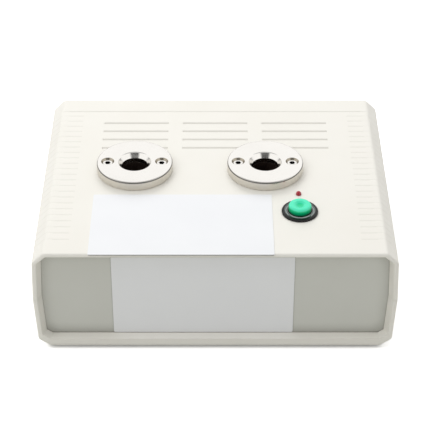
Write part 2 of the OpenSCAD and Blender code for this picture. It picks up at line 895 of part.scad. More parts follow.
// Plated ring with a rounded outer edge, a countersunk bore and two stepped screw holes
module socket_ring(side) {
    r = ring_d / 2;
    edge = arc([r - ring_round, ring_t - ring_round], ring_round, 0, 90);
    rim = arc([seat_d / 2, ring_t - seat_round], seat_round, 90, 90 + seat_angle);
    color(plated_colour)
        difference() {
            translate(socket(side) + [0, 0, top_z])
                rotate_extrude()
                    polygon(concat([[bore_d / 2, 0], [r - ring_round / 2, 0], [r, ring_round / 2]],
                        edge, rim, [[bore_d / 2, ring_t - seat_deep]]));
            ring_screw_places(side) {
                disc(ring_screw_d + 2 * hole_gap, top_z - over, ring_top + over);
                disc(ring_hole_d, ring_top - ring_screw_sink - ring_head_h, ring_top + over);
            }
        }
}

module socket_screws() {
    head_top = ring_top - ring_screw_sink;
    grip = head_top - ring_head_h - nut_top + nut_t + 1;
    color(plated_colour)
        for (side = [-1, 1])
            ring_screw_places(side)
                translate([0, 0, head_top])
                    screw(ring_screw_d, grip, ring_screw_head, ring_head_h, key = ring_screw_key);
}

module socket_nuts() {
    color(iron_colour)
        for (side = [-1, 1])
            ring_screw_places(side)
                translate([0, 0, nut_top - nut_t])
                    nut(ring_nut_w, nut_t, ring_screw_d + 2 * thread_gap);
}

// Plain washers under the outer nuts, which level them with the tags under the inner ones
module socket_washers() {
    color(iron_colour)
        for (side = [-1, 1])
            translate(socket(side) + [side * ring_screw_circle / 2, 0, 0])
                difference() {
                    disc(washer_d, nut_top, flange_z);
                    disc(ring_screw_d + 2 * hole_gap, nut_top - over, flange_z + over);
                }
}

// Insulating sleeve: spigot through the roof, flange under it, well, neck and spring chamber
module socket_sleeve(side) {
    color([0.10, 0.07, 0.06])
        difference() {
            translate(socket(side))
                rotate_extrude()
                    polygon([[bore_d / 2, top_z], [sleeve_d / 2, top_z], [sleeve_d / 2, roof_z],
                        [sleeve_flange_d / 2, roof_z], [sleeve_flange_d / 2, flange_z],
                        [sleeve_d / 2, flange_z], [sleeve_d / 2, sleeve_z], [chamber_d / 2, sleeve_z],
                        [chamber_d / 2, neck_z], [neck_d / 2, neck_z], [neck_d / 2, shoulder_z],
                        [bore_d / 2, shoulder_z]]);
            ring_screw_places(side)
                disc(ring_screw_d + 2 * hole_gap, flange_z - over, roof_z + over);
        }
}

// Sprung contact: cupped tip in the neck, flange below it and a stem inside the spring
module contact_plunger(side) {
    tip_z = shoulder_z - tip_below;
    tip_r = neck_d / 2 - slide_gap;
    cup_r = tip_r * 0.65;
    cup_deep = 1;
    flange_r = chamber_d / 2 - 2 * slide_gap;
    stem_z = contact_flange_z - contact_stem_l;
    color(brass_colour)
        translate(socket(side))
            rotate_extrude()
                polygon([[0, stem_z], [contact_stem_d / 2, stem_z], [contact_stem_d / 2, contact_flange_z],
                    [flange_r, contact_flange_z], [flange_r, contact_flange_top],
                    [tip_r, contact_flange_top], [tip_r, tip_z], [cup_r, tip_z], [0, tip_z - cup_deep]]);
}

module contact_spring(side) {
    path = helix(contact_spring_r, end_plug_z + contact_wire / 2 + slide_gap,
        contact_flange_z - contact_wire / 2 - slide_gap, contact_turns);
    echo(str("contact spring, least gap between turns: ", least_gap(path, contact_wire), " mm"));
    color("silver")
        translate(socket(side))
            tube(path, contact_wire, sides = 6);
}

// Brass plug that closes a sleeve, with a flat solder tail towards the other socket
module end_plug(side) {
    color(brass_colour)
        translate(socket(side)) {
            disc(chamber_d - 2 * thread_gap, sleeve_z - eps, end_plug_z);
            disc(end_plug_flange_d, tail_z, sleeve_z);
            translate([side > 0 ? -tail_reach : 0, -tail_w / 2, tail_z])
                cube([tail_reach, tail_w, tail_t]);
        }
}

module on_button() {
    translate([button_x, button_y, 0]) children();
}

// Bezel with a collar round the cap, threaded barrel and switch housing in one moulding
module button_body() {
    rim = 1.7;
    dish = 0.5;
    edge = 0.5;
    collar = 0.6;
    slope = 0.3;
    mouth_r = cap_d / 2 + 2 * slide_gap;
    thread_end = top_z - barrel_l / 2;
    color(black_colour)
        on_button()
            rotate_extrude()
                polygon([[mouth_r, bezel_top], [mouth_r + collar, bezel_top],
                    [mouth_r + collar + slope, bezel_top - dish],
                    [bezel_d / 2 - rim - slope, bezel_top - dish],
                    [bezel_d / 2 - rim, bezel_top], [bezel_d / 2 - edge, bezel_top],
                    [bezel_d / 2, bezel_top - edge], [bezel_d / 2, top_z], [barrel_d / 2, top_z],
                    [barrel_d / 2, thread_end], [housing_r, thread_end], [housing_r, barrel_z],
                    [button_chamber_r, barrel_z], [button_chamber_r, cap_floor_z - barrel_floor_t],
                    [stem_d / 2 + slide_gap, cap_floor_z - barrel_floor_t],
                    [stem_d / 2 + slide_gap, cap_floor_z], [mouth_r, cap_floor_z]]);
}

module button_nut() {
    color(black_colour)
        on_button()
            translate([0, 0, roof_z - button_nut_t])
                nut(button_nut_w, button_nut_t, barrel_d + 2 * thread_gap);
}

// Cap with a rounded rim and a dished top, hollow below for its spring, on a central stem
module button_cap() {
    r = cap_d / 2;
    round_r = 1.4;
    cap_top = top_z + cap_rise;
    dish_r = 6;
    dish_deep = 1;
    skirt_z = bezel_top - 3;
    stem_z = bridge_top - bridge_t;
    edge = arc([r - round_r, cap_top - round_r], round_r, 0, 90);
    dish = arc([0, cap_top + dish_r - dish_deep], dish_r, -asin(1 - dish_deep / dish_r), -90);
    color([0.10, 0.72, 0.45])
        on_button()
            rotate_extrude()
                polygon(concat([[0, stem_z], [stem_d / 2, stem_z], [stem_d / 2, cap_hollow_z],
                    [cap_hollow_d / 2, cap_hollow_z], [cap_hollow_d / 2, skirt_z], [r, skirt_z]],
                    edge, dish));
}

module button_spring() {
    path = helix(button_spring_r, cap_floor_z + button_wire / 2 + slide_gap,
        cap_hollow_z - button_wire / 2 - slide_gap, button_turns);
    echo(str("button spring, least gap between turns: ", least_gap(path, button_wire), " mm"));
    color("silver")
        on_button() tube(path, button_wire, sides = 6);
}

// Moving contact, a ring on the foot of the stem
module button_bridge() {
    color(brass_colour)
        on_button()
            difference() {
                disc(bridge_d, bridge_top - bridge_t, bridge_top);
                disc(stem_d + 2 * thread_gap, bridge_top - bridge_t - over, bridge_top + over);
            }
}

module terminal_slots(grow) {
    for (s = [-1, 1])
        translate([s * terminal_x, 0, 0])
            block([terminal_t + grow, terminal_w + grow, button_base_t + 2 * over],
                [0, 0, barrel_z - over]);
}

module button_base() {
    color([0.35, 0.20, 0.12])
        on_button()
            difference() {
                disc(2 * (button_chamber_r - thread_gap), barrel_z, barrel_z + button_base_t);
                terminal_slots(2 * thread_gap);
            }
}

// Two fixed contacts that go on down as solder blades
module button_terminals() {
    pad = 2.4;
    color(brass_colour)
        on_button()
            for (s = [-1, 1])
                translate([s * terminal_x, 0, 0]) {
                    block([terminal_t, terminal_w, contact_z - terminal_z], [0, 0, terminal_z]);
                    block([pad, terminal_w, terminal_t],
                        [-s * (pad - terminal_t) / 2, 0, contact_z - terminal_t]);
                }
}

module on_lamp() {
    translate([button_x, lamp_y, 0]) children();
}

module lamp_lens() {
    r = lamp_d / 2;
    color([0.85, 0.05, 0.12])
        on_lamp() {
            disc(lamp_d + 0.8, lamp_flange_z, roof_z);
            disc(lamp_d, roof_z - eps, roof_z + lamp_h - r);
            translate([0, 0, roof_z + lamp_h - r])
                sphere(r = r);
        }
}

module lamp_leads() {
    color("silver")
        on_lamp()
            for (s = [-1, 1])
                block([0.5, 0.5, lamp_flange_z - lamp_lead_z], [s * lamp_lead_x, 0, lamp_lead_z]);
}

module main_board() {
    color([0.10, 0.35, 0.18])
        difference() {
            block([board_w, board_d, board_t], [board_x, board_y, board_z]);
            board_holes() disc(small_screw_d + 2 * hole_gap, board_z - over, board_top + over);
        }
}

module board_screws() {
    color(iron_colour)
        board_holes()
            translate([0, 0, board_top + small_head_h])
                screw(small_screw_d, standoff_h, small_head_d, small_head_h);
}

module on_board(x, y) {
    translate([board_x + x, board_y + y, board_top]) children();
}

module electrolytic_capacitors() {
    r = capacitor_d / 2;
    groove = 0.6;
    bead_z = 3;
    color([0.10, 0.12, 0.25])
        for (x = capacitor_x)
            on_board(x, capacitor_y)
                rotate_extrude()
                    polygon([[0, 0], [r - groove, 0], [r, groove], [r, bead_z],
                        [r - groove, bead_z + groove], [r, bead_z + 2 * groove],
                        [r, capacitor_h - groove], [r - groove, capacitor_h], [0, capacitor_h]]);
}

module film_capacitor() {
    color([0.75, 0.15, 0.10])
        on_board(film_x, part_front_y + film_d / 2)
            block([film_w, film_d, film_h], [0, 0, 0]);
}

// Finned extrusion that stands on the board
module heat_sink() {
    fin_step = (sink_w - fin_t) / (fin_count - 1);
    color([0.25, 0.25, 0.27])
        on_board(sink_x, part_front_y) {
            block([sink_w, sink_t, sink_h], [0, fin_l + sink_t / 2, 0]);
            for (i = [0 : fin_count - 1])
                block([fin_t, fin_l + eps, sink_h],
                    [(i - (fin_count - 1) / 2) * fin_step, (fin_l + eps) / 2, 0]);
        }
}

// Transistor with its tab against the back of the heat sink
module power_transistor() {
    lead_w = 0.8;
    lead_t = 0.6;
    color(black_colour)
        on_board(sink_x, part_front_y + fin_l + sink_t) {
            block([transistor_w, transistor_t, transistor_h], [0, transistor_t / 2, transistor_lead]);
            block([transistor_w, tab_t, transistor_h + tab_h], [0, tab_t / 2, transistor_lead]);
            for (s = [-1, 0, 1])
                block([lead_w, lead_t, transistor_lead + eps], [s * lead_step, transistor_t / 2, 0]);
        }
}

module control_chip() {
    rise = 0.6;
    lead_w = 0.5;
    lead_out = 1;
    color(black_colour)
        on_board(film_x, part_front_y + film_d + part_gap + chip_w / 2 + 2 * lead_out) {
            block([chip_l, chip_w, chip_h], [0, 0, rise]);
            for (i = [0 : chip_leads - 1], s = [-1, 1])
                block([lead_w, lead_out, rise + chip_h / 2],
                    [(i - (chip_leads - 1) / 2) * lead_step, s * ((chip_w + lead_out) / 2 - eps), 0]);
        }
}

// Block with two clamp screws in its top, its wire side at the origin
module terminal_block() {
    clamp_d = 3.4;
    clamp_deep = 2;
    color([0.15, 0.45, 0.25])
        difference() {
            block([block_w, block_d, block_h], [0, -block_d / 2, 0]);
            for (s = [-1, 1])
                translate([s * block_wire_x, -block_d / 2, 0])
                    disc(clamp_d, block_h - clamp_deep, block_h + over);
        }
}

module terminal_blocks() {
    for (x = rear_block_x)
        on_board(x, board_d / 2) terminal_block();
    for (y = right_block_y)
        on_board(board_w / 2, y) rotate(-90) terminal_block();
}

// Laminated frame that stands along X on its pads
module iron_core(l, t, h, leg) {
    color(iron_colour)
        translate([0, 0, pad_z])
            difference() {
                block([l, t, h], [0, 0, 0]);
                block([l - 2 * leg, t + 2 * over, h - 2 * leg], [0, 0, leg]);
            }
}

// Wound or potted block in the window of a core, with bevelled upright edges
module window_block(l, d, h, leg) {
    x = l / 2 - leg - seat_gap;
    y = d / 2;
    b = 3;
    translate([0, 0, pad_z + leg + seat_gap])
        linear_extrude(h - 2 * leg - 2 * seat_gap)
            polygon([[-x, -y + b], [-x + b, -y], [x - b, -y], [x, -y + b],
                [x, y - b], [x - b, y], [-x + b, y], [-x, y - b]]);
}

// Steel strap over a core, with an ear at each foot
module strap(l, h) {
    reach = l / 2 + seat_gap;
    color([0.70, 0.70, 0.68])
        translate([0, 0, pad_z])
            difference() {
                union() {
                    block([2 * (reach + strap_t), strap_w, strap_t], [0, 0, h]);
                    for (s = [-1, 1]) {
                        block([strap_t, strap_w, h + eps], [s * (reach + strap_t / 2), 0, 0]);
                        block([ear_l + eps, strap_w, strap_t],
                            [s * (reach + strap_t + ear_l / 2 - eps / 2), 0, 0]);
                    }
                }
                for (s = [-1, 1])
                    translate([s * (l / 2 + strap_t + strap_screw_out), 0, 0])
                        disc(small_screw_d + 2 * hole_gap, -over, strap_t + over);
            }
}

module coil_core() {
    on_coil() iron_core(coil_l, coil_t, coil_h, coil_leg);
}

// Potted high-voltage winding with two towers towards the sockets
module coil_block() {
    color(black_colour)
        on_coil() {
            window_block(coil_l, potted_d, coil_h, coil_leg);
            for (s = [-1, 1])
                translate([s * tower_x, -potted_d / 2 + eps, tower_z])
                    rotate([90, 0, 0])
                        cylinder(d1 = tower_d, d2 = tower_d - 2, h = tower_l + eps);
        }
}

module coil_strap() {
    on_coil() strap(coil_l, coil_h);
}

module transformer_core() {
    on_transformer() iron_core(mains_l, mains_t, mains_h, mains_leg);
}

module transformer_winding() {
    color([0.85, 0.72, 0.25])
        on_transformer() window_block(mains_l, winding_d, mains_h, mains_leg);
}

module transformer_strap() {
    on_transformer() strap(mains_l, mains_h);
}

module strap_screw_pair(l) {
    for (s = [-1, 1])
        translate([s * (l / 2 + strap_t + strap_screw_out), 0, pad_z + strap_t + small_head_h])
            screw(small_screw_d, pad_h + strap_t, small_head_d, small_head_h);
}

module strap_screws() {
    color(iron_colour) {
        on_coil() strap_screw_pair(coil_l);
        on_transformer() strap_screw_pair(mains_l);
    }
}

// Outline of the inlet's socket, with two bevelled corners at the top
function mouth_outline(gap) = let (x = mouth_w / 2 - gap, z = mouth_h / 2 - gap, b = 4.5)
    [[-x, -z], [x, -z], [x, z - b], [x - b, z], [-x + b, z], [-x, z - b]];

module inlet_body() {
    drawer_gap = 2 * slide_gap;
    color(black_colour)
        difference() {
            union() {
                translate([inlet_mid_x - inlet_flange_w / 2, rear_face_y, inlet_z - inlet_flange_h / 2])
                    cube([inlet_flange_w, inlet_flange_t, inlet_flange_h]);
                translate([inlet_mid_x - inlet_w / 2, inlet_inner_y, inlet_z - inlet_body_h / 2])
                    cube([inlet_w, inlet_deep + eps, inlet_body_h]);
            }
            translate([inlet_mid_x, 0, mouth_z])
                prism(mouth_outline(0), inlet_outer_y - mouth_deep, inlet_outer_y + over);
            translate([inlet_mid_x - drawer_w / 2 - drawer_gap, inlet_outer_y - drawer_d - drawer_gap,
                drawer_z - drawer_h / 2 - drawer_gap])
                cube([drawer_w + 2 * drawer_gap, drawer_d + 2 * over, drawer_h + 2 * drawer_gap]);
            for (p = inlet_pin_places)
                translate([inlet_mid_x + p.x - pin_w / 2 - thread_gap, inlet_inner_y - over,
                    mouth_z + p.y - pin_h / 2 - thread_gap])
                    cube([pin_w + 2 * thread_gap, inlet_deep, pin_h + 2 * thread_gap]);
            inlet_screw_places()
                disc(small_screw_d + 2 * hole_gap, -over, inlet_flange_t + over);
        }
}

// Three blades: plug pins in the socket and solder tabs behind the body
module inlet_pins() {
    color(plated_colour)
        for (p = inlet_pin_places)
            translate([inlet_mid_x + p.x - pin_w / 2, inlet_inner_y - tab_l, mouth_z + p.y - pin_h / 2])
                cube([pin_w, tab_l + inlet_outer_y - mouth_deep - inlet_inner_y + pin_l, pin_h]);
}

module inlet_screws() {
    grip = inlet_flange_t + panel_t + inlet_nut_t + 1.5;
    color(plated_colour)
        inlet_screw_places()
            translate([0, 0, inlet_flange_t + small_head_h])
                screw(small_screw_d, grip, small_head_d, small_head_h);
}

module inlet_nuts() {
    color(iron_colour)
        inlet_screw_places()
            translate([0, 0, -panel_t - inlet_nut_t])
                nut(small_head_d, inlet_nut_t, small_screw_d + 2 * thread_gap);
}

// Drawer with a tray for the fuse and a finger lip on its face
module fuse_drawer() {
    lip_t = 1.2;
    lip_h = 2;
    color(black_colour)
        translate([inlet_mid_x, inlet_outer_y, drawer_z])
            difference() {
                union() {
                    translate([-drawer_w / 2, -drawer_d, -drawer_h / 2])
                        cube([drawer_w, drawer_d, drawer_h]);
                    translate([-drawer_w / 4, -eps, -drawer_h / 2])
                        cube([drawer_w / 2, lip_t + eps, lip_h]);
                }
                translate([-drawer_w / 2 + tray_wall, -drawer_d + tray_wall, -drawer_h / 2 + tray_wall])
                    cube([drawer_w - 2 * tray_wall, tray_d, drawer_h]);
            }
}

module along_fuse(x) {
    translate([inlet_mid_x + x, fuse_y, fuse_z])
        rotate([0, 90, 0])
            children();
}

// Glass tube of the fuse, narrowed to fit inside its end caps
module fuse_tube() {
    color([0.80, 0.88, 0.90])
        along_fuse(0) {
            cylinder(d = fuse_d - 2 * fuse_wall, h = fuse_l - 2 * fuse_end_t - 2 * seat_gap, center = true);
            cylinder(d = fuse_d - fuse_wall, h = fuse_l - 2 * fuse_cap_l - 2 * seat_gap, center = true);
        }
}

module fuse_caps() {
    color(plated_colour)
        for (s = [-1, 1])
            along_fuse(s * (fuse_l - fuse_cap_l) / 2)
                difference() {
                    cylinder(d = fuse_d, h = fuse_cap_l, center = true);
                    translate([0, 0, -s * fuse_end_t])
                        cylinder(d = fuse_d - 2 * (fuse_wall - thread_gap), h = fuse_cap_l, center = true);
                }
}

// High-voltage leads from the coil's towers to the tails under the sleeves
module hv_leads() {
    color([0.80, 0.12, 0.10])
        for (side = [-1, 1]) {
            tail = socket(side) + [-side * tail_reach, 0, tail_z + tail_t / 2];
            tower = [coil_x + side * tower_x, coil_front_y - tower_l, tower_z];
            middle = [tower.x, (tail.y + tower.y) / 2, (tail.z + tower.z) / 2];
            tube(route([tail, tail - [side * 3, 0, 0], middle, tower - [0, 3, 0], tower], 4), hv_d);
        }
}

// Ring tags under the inner nuts, and their leads to the coil's strap
module ground_leads() {
    tag_l = 11;
    for (side = [-1, 1]) {
        screw_place = socket(side) - [side * ring_screw_circle / 2, 0, 0];
        tag_end = screw_place + [0, tag_l, nut_top];
        earth = [coil_x + side * 6, coil_y, pad_z + coil_h + strap_t];
        color(brass_colour)
            difference() {
                union() {
                    translate(screw_place) disc(washer_d, nut_top, flange_z);
                    block([3, tag_l, washer_t], screw_place + [0, tag_l / 2, nut_top]);
                }
                translate(screw_place) disc(ring_screw_d + 2 * hole_gap, nut_top - over, flange_z + over);
            }
        color([0.15, 0.15, 0.15])
            tube(route([tag_end, tag_end + [0, 4, -0.5],
                [(tag_end.x + earth.x) / 2, earth.y - 12, earth.z + 6],
                earth + [0, 0, 4], earth], 4), signal_d);
    }
}

function inlet_tab(i) = [inlet_mid_x + inlet_pin_places[i].x, inlet_inner_y - tab_l,
    mouth_z + inlet_pin_places[i].y];

// Live and neutral to the transformer behind the coil, earth to the coil's strap
module mains_wires() {
    coil_top = pad_z + coil_h + strap_t;
    coil_right = coil_x + coil_l / 2;
    coil_left = coil_x - coil_l / 2;
    behind_coil = coil_y + coil_t / 2 + 5;
    face = [mains_x + winding_d / 2, mains_y + 3, pad_z + mains_h / 2];
    live = inlet_tab(0);
    live_entry = face + [0, 0, 4];
    color([0.45, 0.25, 0.12])
        tube(route([live, live - [0, 5, 0], [coil_right + 16, coil_y - 6, coil_top + 1],
            [coil_right + 5, behind_coil, coil_top + 1], [coil_left - 4, behind_coil, coil_top],
            live_entry + [4, 0, 0], live_entry], 5), mains_d);
    neutral = inlet_tab(1);
    neutral_entry = face + [0, 4, 0];
    color([0.15, 0.30, 0.70])
        tube(route([neutral, neutral - [0, 5, 0], [live.x + 4, live.y - 9, live.z - 4],
            [coil_right + 15, coil_y - 1, coil_top - 3], [coil_right + 3, behind_coil + 3, coil_top - 3],
            [coil_left - 5, behind_coil + 3, coil_top - 3], neutral_entry + [4, 0, 0],
            neutral_entry], 5), mains_d);
    earth = inlet_tab(2);
    earth_seat = [coil_right - 10, coil_y, coil_top];
    color([0.35, 0.60, 0.15])
        tube(route([earth, earth - [0, 5, 0], [(earth.x + earth_seat.x) / 2, coil_y - 12, coil_top + 8],
            earth_seat + [0, 0, 5], earth_seat], 4), mains_d);
}

module secondary_wires() {
    for (i = [0, 1]) {
        start = [mains_x - winding_d / 2, mains_y - 6, pad_z + mains_h / 2 - 5 + 6 * i];
        entry = [board_x + rear_block_x[0] + (1 - 2 * i) * block_wire_x, board_y + board_d / 2,
            block_wire_z];
        color([0.75, 0.55, 0.15])
            tube(route([start, start - [3, 0, 0], [mains_x - 12 - 3 * i, mains_y - 26, entry.z + 2 + 5 * i],
                entry + [-3 * i, 8, 3 * i], entry + [0, 2, 0], entry], 4), signal_d);
    }
}

module coil_wires() {
    for (s = [-1, 1]) {
        start = [coil_x + s * 4, coil_front_y, tower_z - 2];
        entry = [coil_x + s * block_wire_x, board_y + board_d / 2, block_wire_z];
        color([0.85, 0.80, 0.75])
            tube(route([start, start - [0, 5, 0],
                [coil_x + s * 3.5, (start.y + entry.y) / 2, (start.z + entry.z) / 2],
                entry + [0, 4, 0], entry], 4), signal_d);
    }
}

module button_wires() {
    for (s = [-1, 1]) {
        start = [button_x + s * terminal_x, button_y, terminal_z];
        entry = [board_x + board_w / 2, board_y + right_block_y[0] + s * block_wire_x, block_wire_z];
        color([0.20, 0.20, 0.60])
            tube(route([start, start - [0, 0, 4 + 2 * s],
                [(start.x + entry.x) / 2 + 2 * s, (start.y + entry.y) / 2 + s, entry.z + 2 - 3 * s],
                entry + [4, 0, 0], entry], 4), signal_d);
    }
}

module lamp_wires() {
    for (s = [-1, 1]) {
        start = [button_x + s * lamp_lead_x, lamp_y, lamp_lead_z];
        entry = [board_x + board_w / 2, board_y + right_block_y[1] + s * block_wire_x, block_wire_z];
        color([0.70, 0.10, 0.10])
            tube(route([start, start - [0, 0, 4],
                [(start.x + entry.x) / 2 + 2 * s, (start.y + entry.y) / 2 + s, (start.z + entry.z) / 2],
                entry + [4, 0, 0], entry], 4), lamp_wire_d);
    }
}

top_shell();
bottom_shell();
front_panel();
rear_panel();
rubber_feet();
case_screws();
socket_ring(-1);  // left_socket_ring
socket_ring(1);  // right_socket_ring
socket_screws();
socket_nuts();
socket_washers();
socket_sleeve(-1);  // left_socket_sleeve
socket_sleeve(1);  // right_socket_sleeve
contact_plunger(-1);  // left_contact_plunger
contact_plunger(1);  // right_contact_plunger
contact_spring(-1);  // left_contact_spring
contact_spring(1);  // right_contact_spring
end_plug(-1);  // left_end_plug
end_plug(1);  // right_end_plug
button_body();
button_nut();
button_cap();
button_spring();
button_bridge();
button_base();
button_terminals();
lamp_lens();
lamp_leads();
main_board();
board_screws();
electrolytic_capacitors();
film_capacitor();
heat_sink();
power_transistor();
control_chip();
terminal_blocks();
coil_core();
coil_block();
coil_strap();
transformer_core();
transformer_winding();
transformer_strap();
strap_screws();
inlet_body();
inlet_pins();
inlet_screws();
inlet_nuts();
fuse_drawer();
fuse_tube();
fuse_caps();
hv_leads();
ground_leads();
mains_wires();
secondary_wires();
coil_wires();
button_wires();
lamp_wires();
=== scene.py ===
"""Bench tester for spark plugs: finishes, labels, springs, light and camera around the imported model."""

import math

import bmesh
import bpy
from mathutils import Matrix, Vector


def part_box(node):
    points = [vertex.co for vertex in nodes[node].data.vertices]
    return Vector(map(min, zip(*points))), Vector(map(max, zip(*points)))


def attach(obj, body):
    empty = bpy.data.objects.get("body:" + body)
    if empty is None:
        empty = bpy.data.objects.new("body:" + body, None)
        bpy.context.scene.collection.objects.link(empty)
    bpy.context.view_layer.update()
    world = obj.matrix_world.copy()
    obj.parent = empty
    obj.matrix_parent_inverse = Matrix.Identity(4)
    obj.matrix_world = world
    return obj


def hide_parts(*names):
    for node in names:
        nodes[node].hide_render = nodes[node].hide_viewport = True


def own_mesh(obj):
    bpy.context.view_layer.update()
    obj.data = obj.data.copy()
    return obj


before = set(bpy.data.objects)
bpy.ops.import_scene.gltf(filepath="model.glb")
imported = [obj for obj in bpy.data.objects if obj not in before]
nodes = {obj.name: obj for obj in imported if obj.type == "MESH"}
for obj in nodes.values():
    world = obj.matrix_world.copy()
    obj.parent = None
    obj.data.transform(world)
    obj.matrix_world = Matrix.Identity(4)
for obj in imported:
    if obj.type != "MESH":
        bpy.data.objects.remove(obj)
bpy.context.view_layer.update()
MM = 0.001

# Camera at the photograph's place
camera = bpy.data.objects.new("camera", bpy.data.cameras.new("camera"))
bpy.context.scene.collection.objects.link(camera)
camera.location = (-0.0001, -0.753, 0.5829)
camera.rotation_euler = (math.radians(53.97), 0, 0)
camera.data.lens = 132.9
camera.data.sensor_width = 36
bpy.context.scene.camera = camera
bpy.context.scene.view_settings.view_transform = "Standard"


# Helpers for node trees
def add(tree, kind, inputs=None, **settings):
    """New node, with its settings and the value or link of each named input."""
    node = tree.nodes.new("ShaderNode" + kind)
    for name, value in settings.items():
        setattr(node, name, value)
    for name, value in (inputs or {}).items():
        give(tree, node.inputs[name], value)
    return node


def give(tree, socket, value):
    """Set a socket by a link or by a plain value."""
    if isinstance(value, bpy.types.NodeSocket):
        tree.links.new(value, socket)
    else:
        socket.default_value = value


def maths(tree, operation, *values, clamp=False):
    """Result of one step of arithmetic."""
    node = add(tree, "Math", dict(enumerate(values)), operation=operation, use_clamp=clamp)
    return node.outputs[0]


def product(tree, first, *others):
    """Product of several masks."""
    for other in others:
        first = maths(tree, "MULTIPLY", first, other)
    return first


def weigh(tree, first, second, share):
    """Sum of two values, in which the second has the given share."""
    return maths(tree, "ADD", maths(tree, "MULTIPLY", first, 1 - share),
                 maths(tree, "MULTIPLY", second, share))


def blend(tree, factor, first, second):
    """Colour between two colours."""
    node = add(tree, "Mix", {0: factor, 6: first, 7: second}, data_type="RGBA")
    return node.outputs[2]


def spread(tree, value, low, high, to_low=0.0, to_high=1.0):
    """Value moved from one range to another and kept inside it."""
    limits = {"Value": value, "From Min": low, "From Max": high, "To Min": to_low, "To Max": to_high}
    return add(tree, "MapRange", limits).outputs[0]


def noise(tree, place, scale, detail=3.0, rough=0.55):
    """Soft random value over a surface."""
    given = {"Vector": place, "Scale": scale, "Detail": detail, "Roughness": rough}
    return add(tree, "TexNoise", given).outputs["Fac"]


def along(tree, place, axis):
    """Coordinate of a place along X, Y or Z."""
    return add(tree, "SeparateXYZ", {0: place}).outputs[axis]


def below(tree, place, level, fade):
    """Mask of what lies under a level, full at the fade's depth."""
    return spread(tree, along(tree, place, "Z"), level, level - fade)


def above(tree, place, level, fade):
    """Mask of what lies over a level, full at the fade's height."""
    return spread(tree, along(tree, place, "Z"), level, level + fade)


def distance_from(tree, place, axis):
    """Distance from an upright axis through a point."""
    centred = add(tree, "VectorMath", {0: place, 1: axis}, operation="SUBTRACT").outputs[0]
    flat = add(tree, "VectorMath", {0: centred, 1: (1.0, 1.0, 0.0)}, operation="MULTIPLY").outputs[0]
    return add(tree, "VectorMath", {0: flat}, operation="LENGTH").outputs["Value"]


def openness(tree, distance, samples):
    """Share of a surface's view that nothing within a distance closes."""
    return add(tree, "AmbientOcclusion", {"Distance": distance}, samples=samples).outputs["AO"]


def new_group(name, inputs, outputs):
    """Empty node group with named sockets, and the inner ends of those sockets."""
    tree = bpy.data.node_groups.new(name, "ShaderNodeTree")
    for label, (kind, value) in inputs.items():
        socket = tree.interface.new_socket(label, in_out="INPUT", socket_type="NodeSocket" + kind)
        socket.default_value = value
    for label, kind in outputs.items():
        tree.interface.new_socket(label, in_out="OUTPUT", socket_type="NodeSocket" + kind)
    given = tree.nodes.new("NodeGroupInput").outputs
    result = tree.nodes.new("NodeGroupOutput").inputs
    return tree, given, result


def colour(red, green, blue):
    """Opaque colour."""
    return (red, green, blue, 1.0)


ORIGIN = (0.0, 0.0, 0.0)
WHITE = colour(1.0, 1.0, 1.0)
GREY = colour(0.5, 0.5, 0.5)
DUST = colour(0.52, 0.50, 0.46)
PLATED = colour(0.25, 0.275, 0.27)


# Effects that several finishes share
def make_tone_and_grain():
    """Two close tones in soft patches, and the fine grain of a moulded or cast surface."""
    tree, given, result = new_group(
        "tone_and_grain",
        {"Place": ("Vector", ORIGIN), "Tone": ("Color", GREY), "Second Tone": ("Color", GREY),
         "Mottle": ("Float", 0.5), "Patches": ("Float", 40.0), "Grain": ("Float", 3000.0)},
        {"Color": "Color", "Height": "Float"})
    patches = noise(tree, given["Place"], given["Patches"], 5.0)
    fine = noise(tree, given["Place"], given["Grain"], 2.0)
    both = weigh(tree, patches, fine, 0.25)
    share = maths(tree, "MULTIPLY", spread(tree, both, 0.38, 0.62), given["Mottle"])
    tree.links.new(blend(tree, share, given["Tone"], given["Second Tone"]), result["Color"])
    tree.links.new(fine, result["Height"])
    return tree


def make_handled_gloss():
    """Roughness that changes in smudges and in fine streaks from handling."""
    tree, given, result = new_group(
        "handled_gloss",
        {"Place": ("Vector", ORIGIN), "Roughness": ("Float", 0.4), "Change": ("Float", 0.1),
         "Size": ("Float", 60.0)},
        {"Roughness": "Float"})
    smudges = noise(tree, given["Place"], given["Size"], 4.0)
    turned = add(tree, "Mapping", {"Vector": given["Place"], "Rotation": (0.3, 0.5, 0.7),
                                   "Scale": (1.0, 14.0, 6.0)}).outputs[0]
    streaks = noise(tree, turned, given["Size"], 2.0)
    both = weigh(tree, smudges, streaks, 0.35)
    swing = maths(tree, "MULTIPLY", spread(tree, both, 0.35, 0.65, -1.0, 1.0), given["Change"])
    tree.links.new(maths(tree, "ADD", given["Roughness"], swing, clamp=True), result["Roughness"])
    return tree


def make_soft_edges():
    """Rounded look of an edge, and a broken mask along it where it is rubbed."""
    tree, given, result = new_group(
        "soft_edges",
        {"Place": ("Vector", ORIGIN), "Width": ("Float", 0.3 * MM)},
        {"Normal": "Vector", "Rubbed": "Float"})
    rounded = add(tree, "Bevel", {"Radius": given["Width"]}, samples=6).outputs[0]
    flat = add(tree, "NewGeometry").outputs["Normal"]
    facing = add(tree, "VectorMath", {0: rounded, 1: flat}, operation="DOT_PRODUCT").outputs["Value"]
    bend = spread(tree, facing, 0.99, 0.8)
    broken = spread(tree, noise(tree, given["Place"], 350.0, 4.0), 0.42, 0.62)
    tree.links.new(rounded, result["Normal"])
    tree.links.new(product(tree, bend, broken), result["Rubbed"])
    return tree


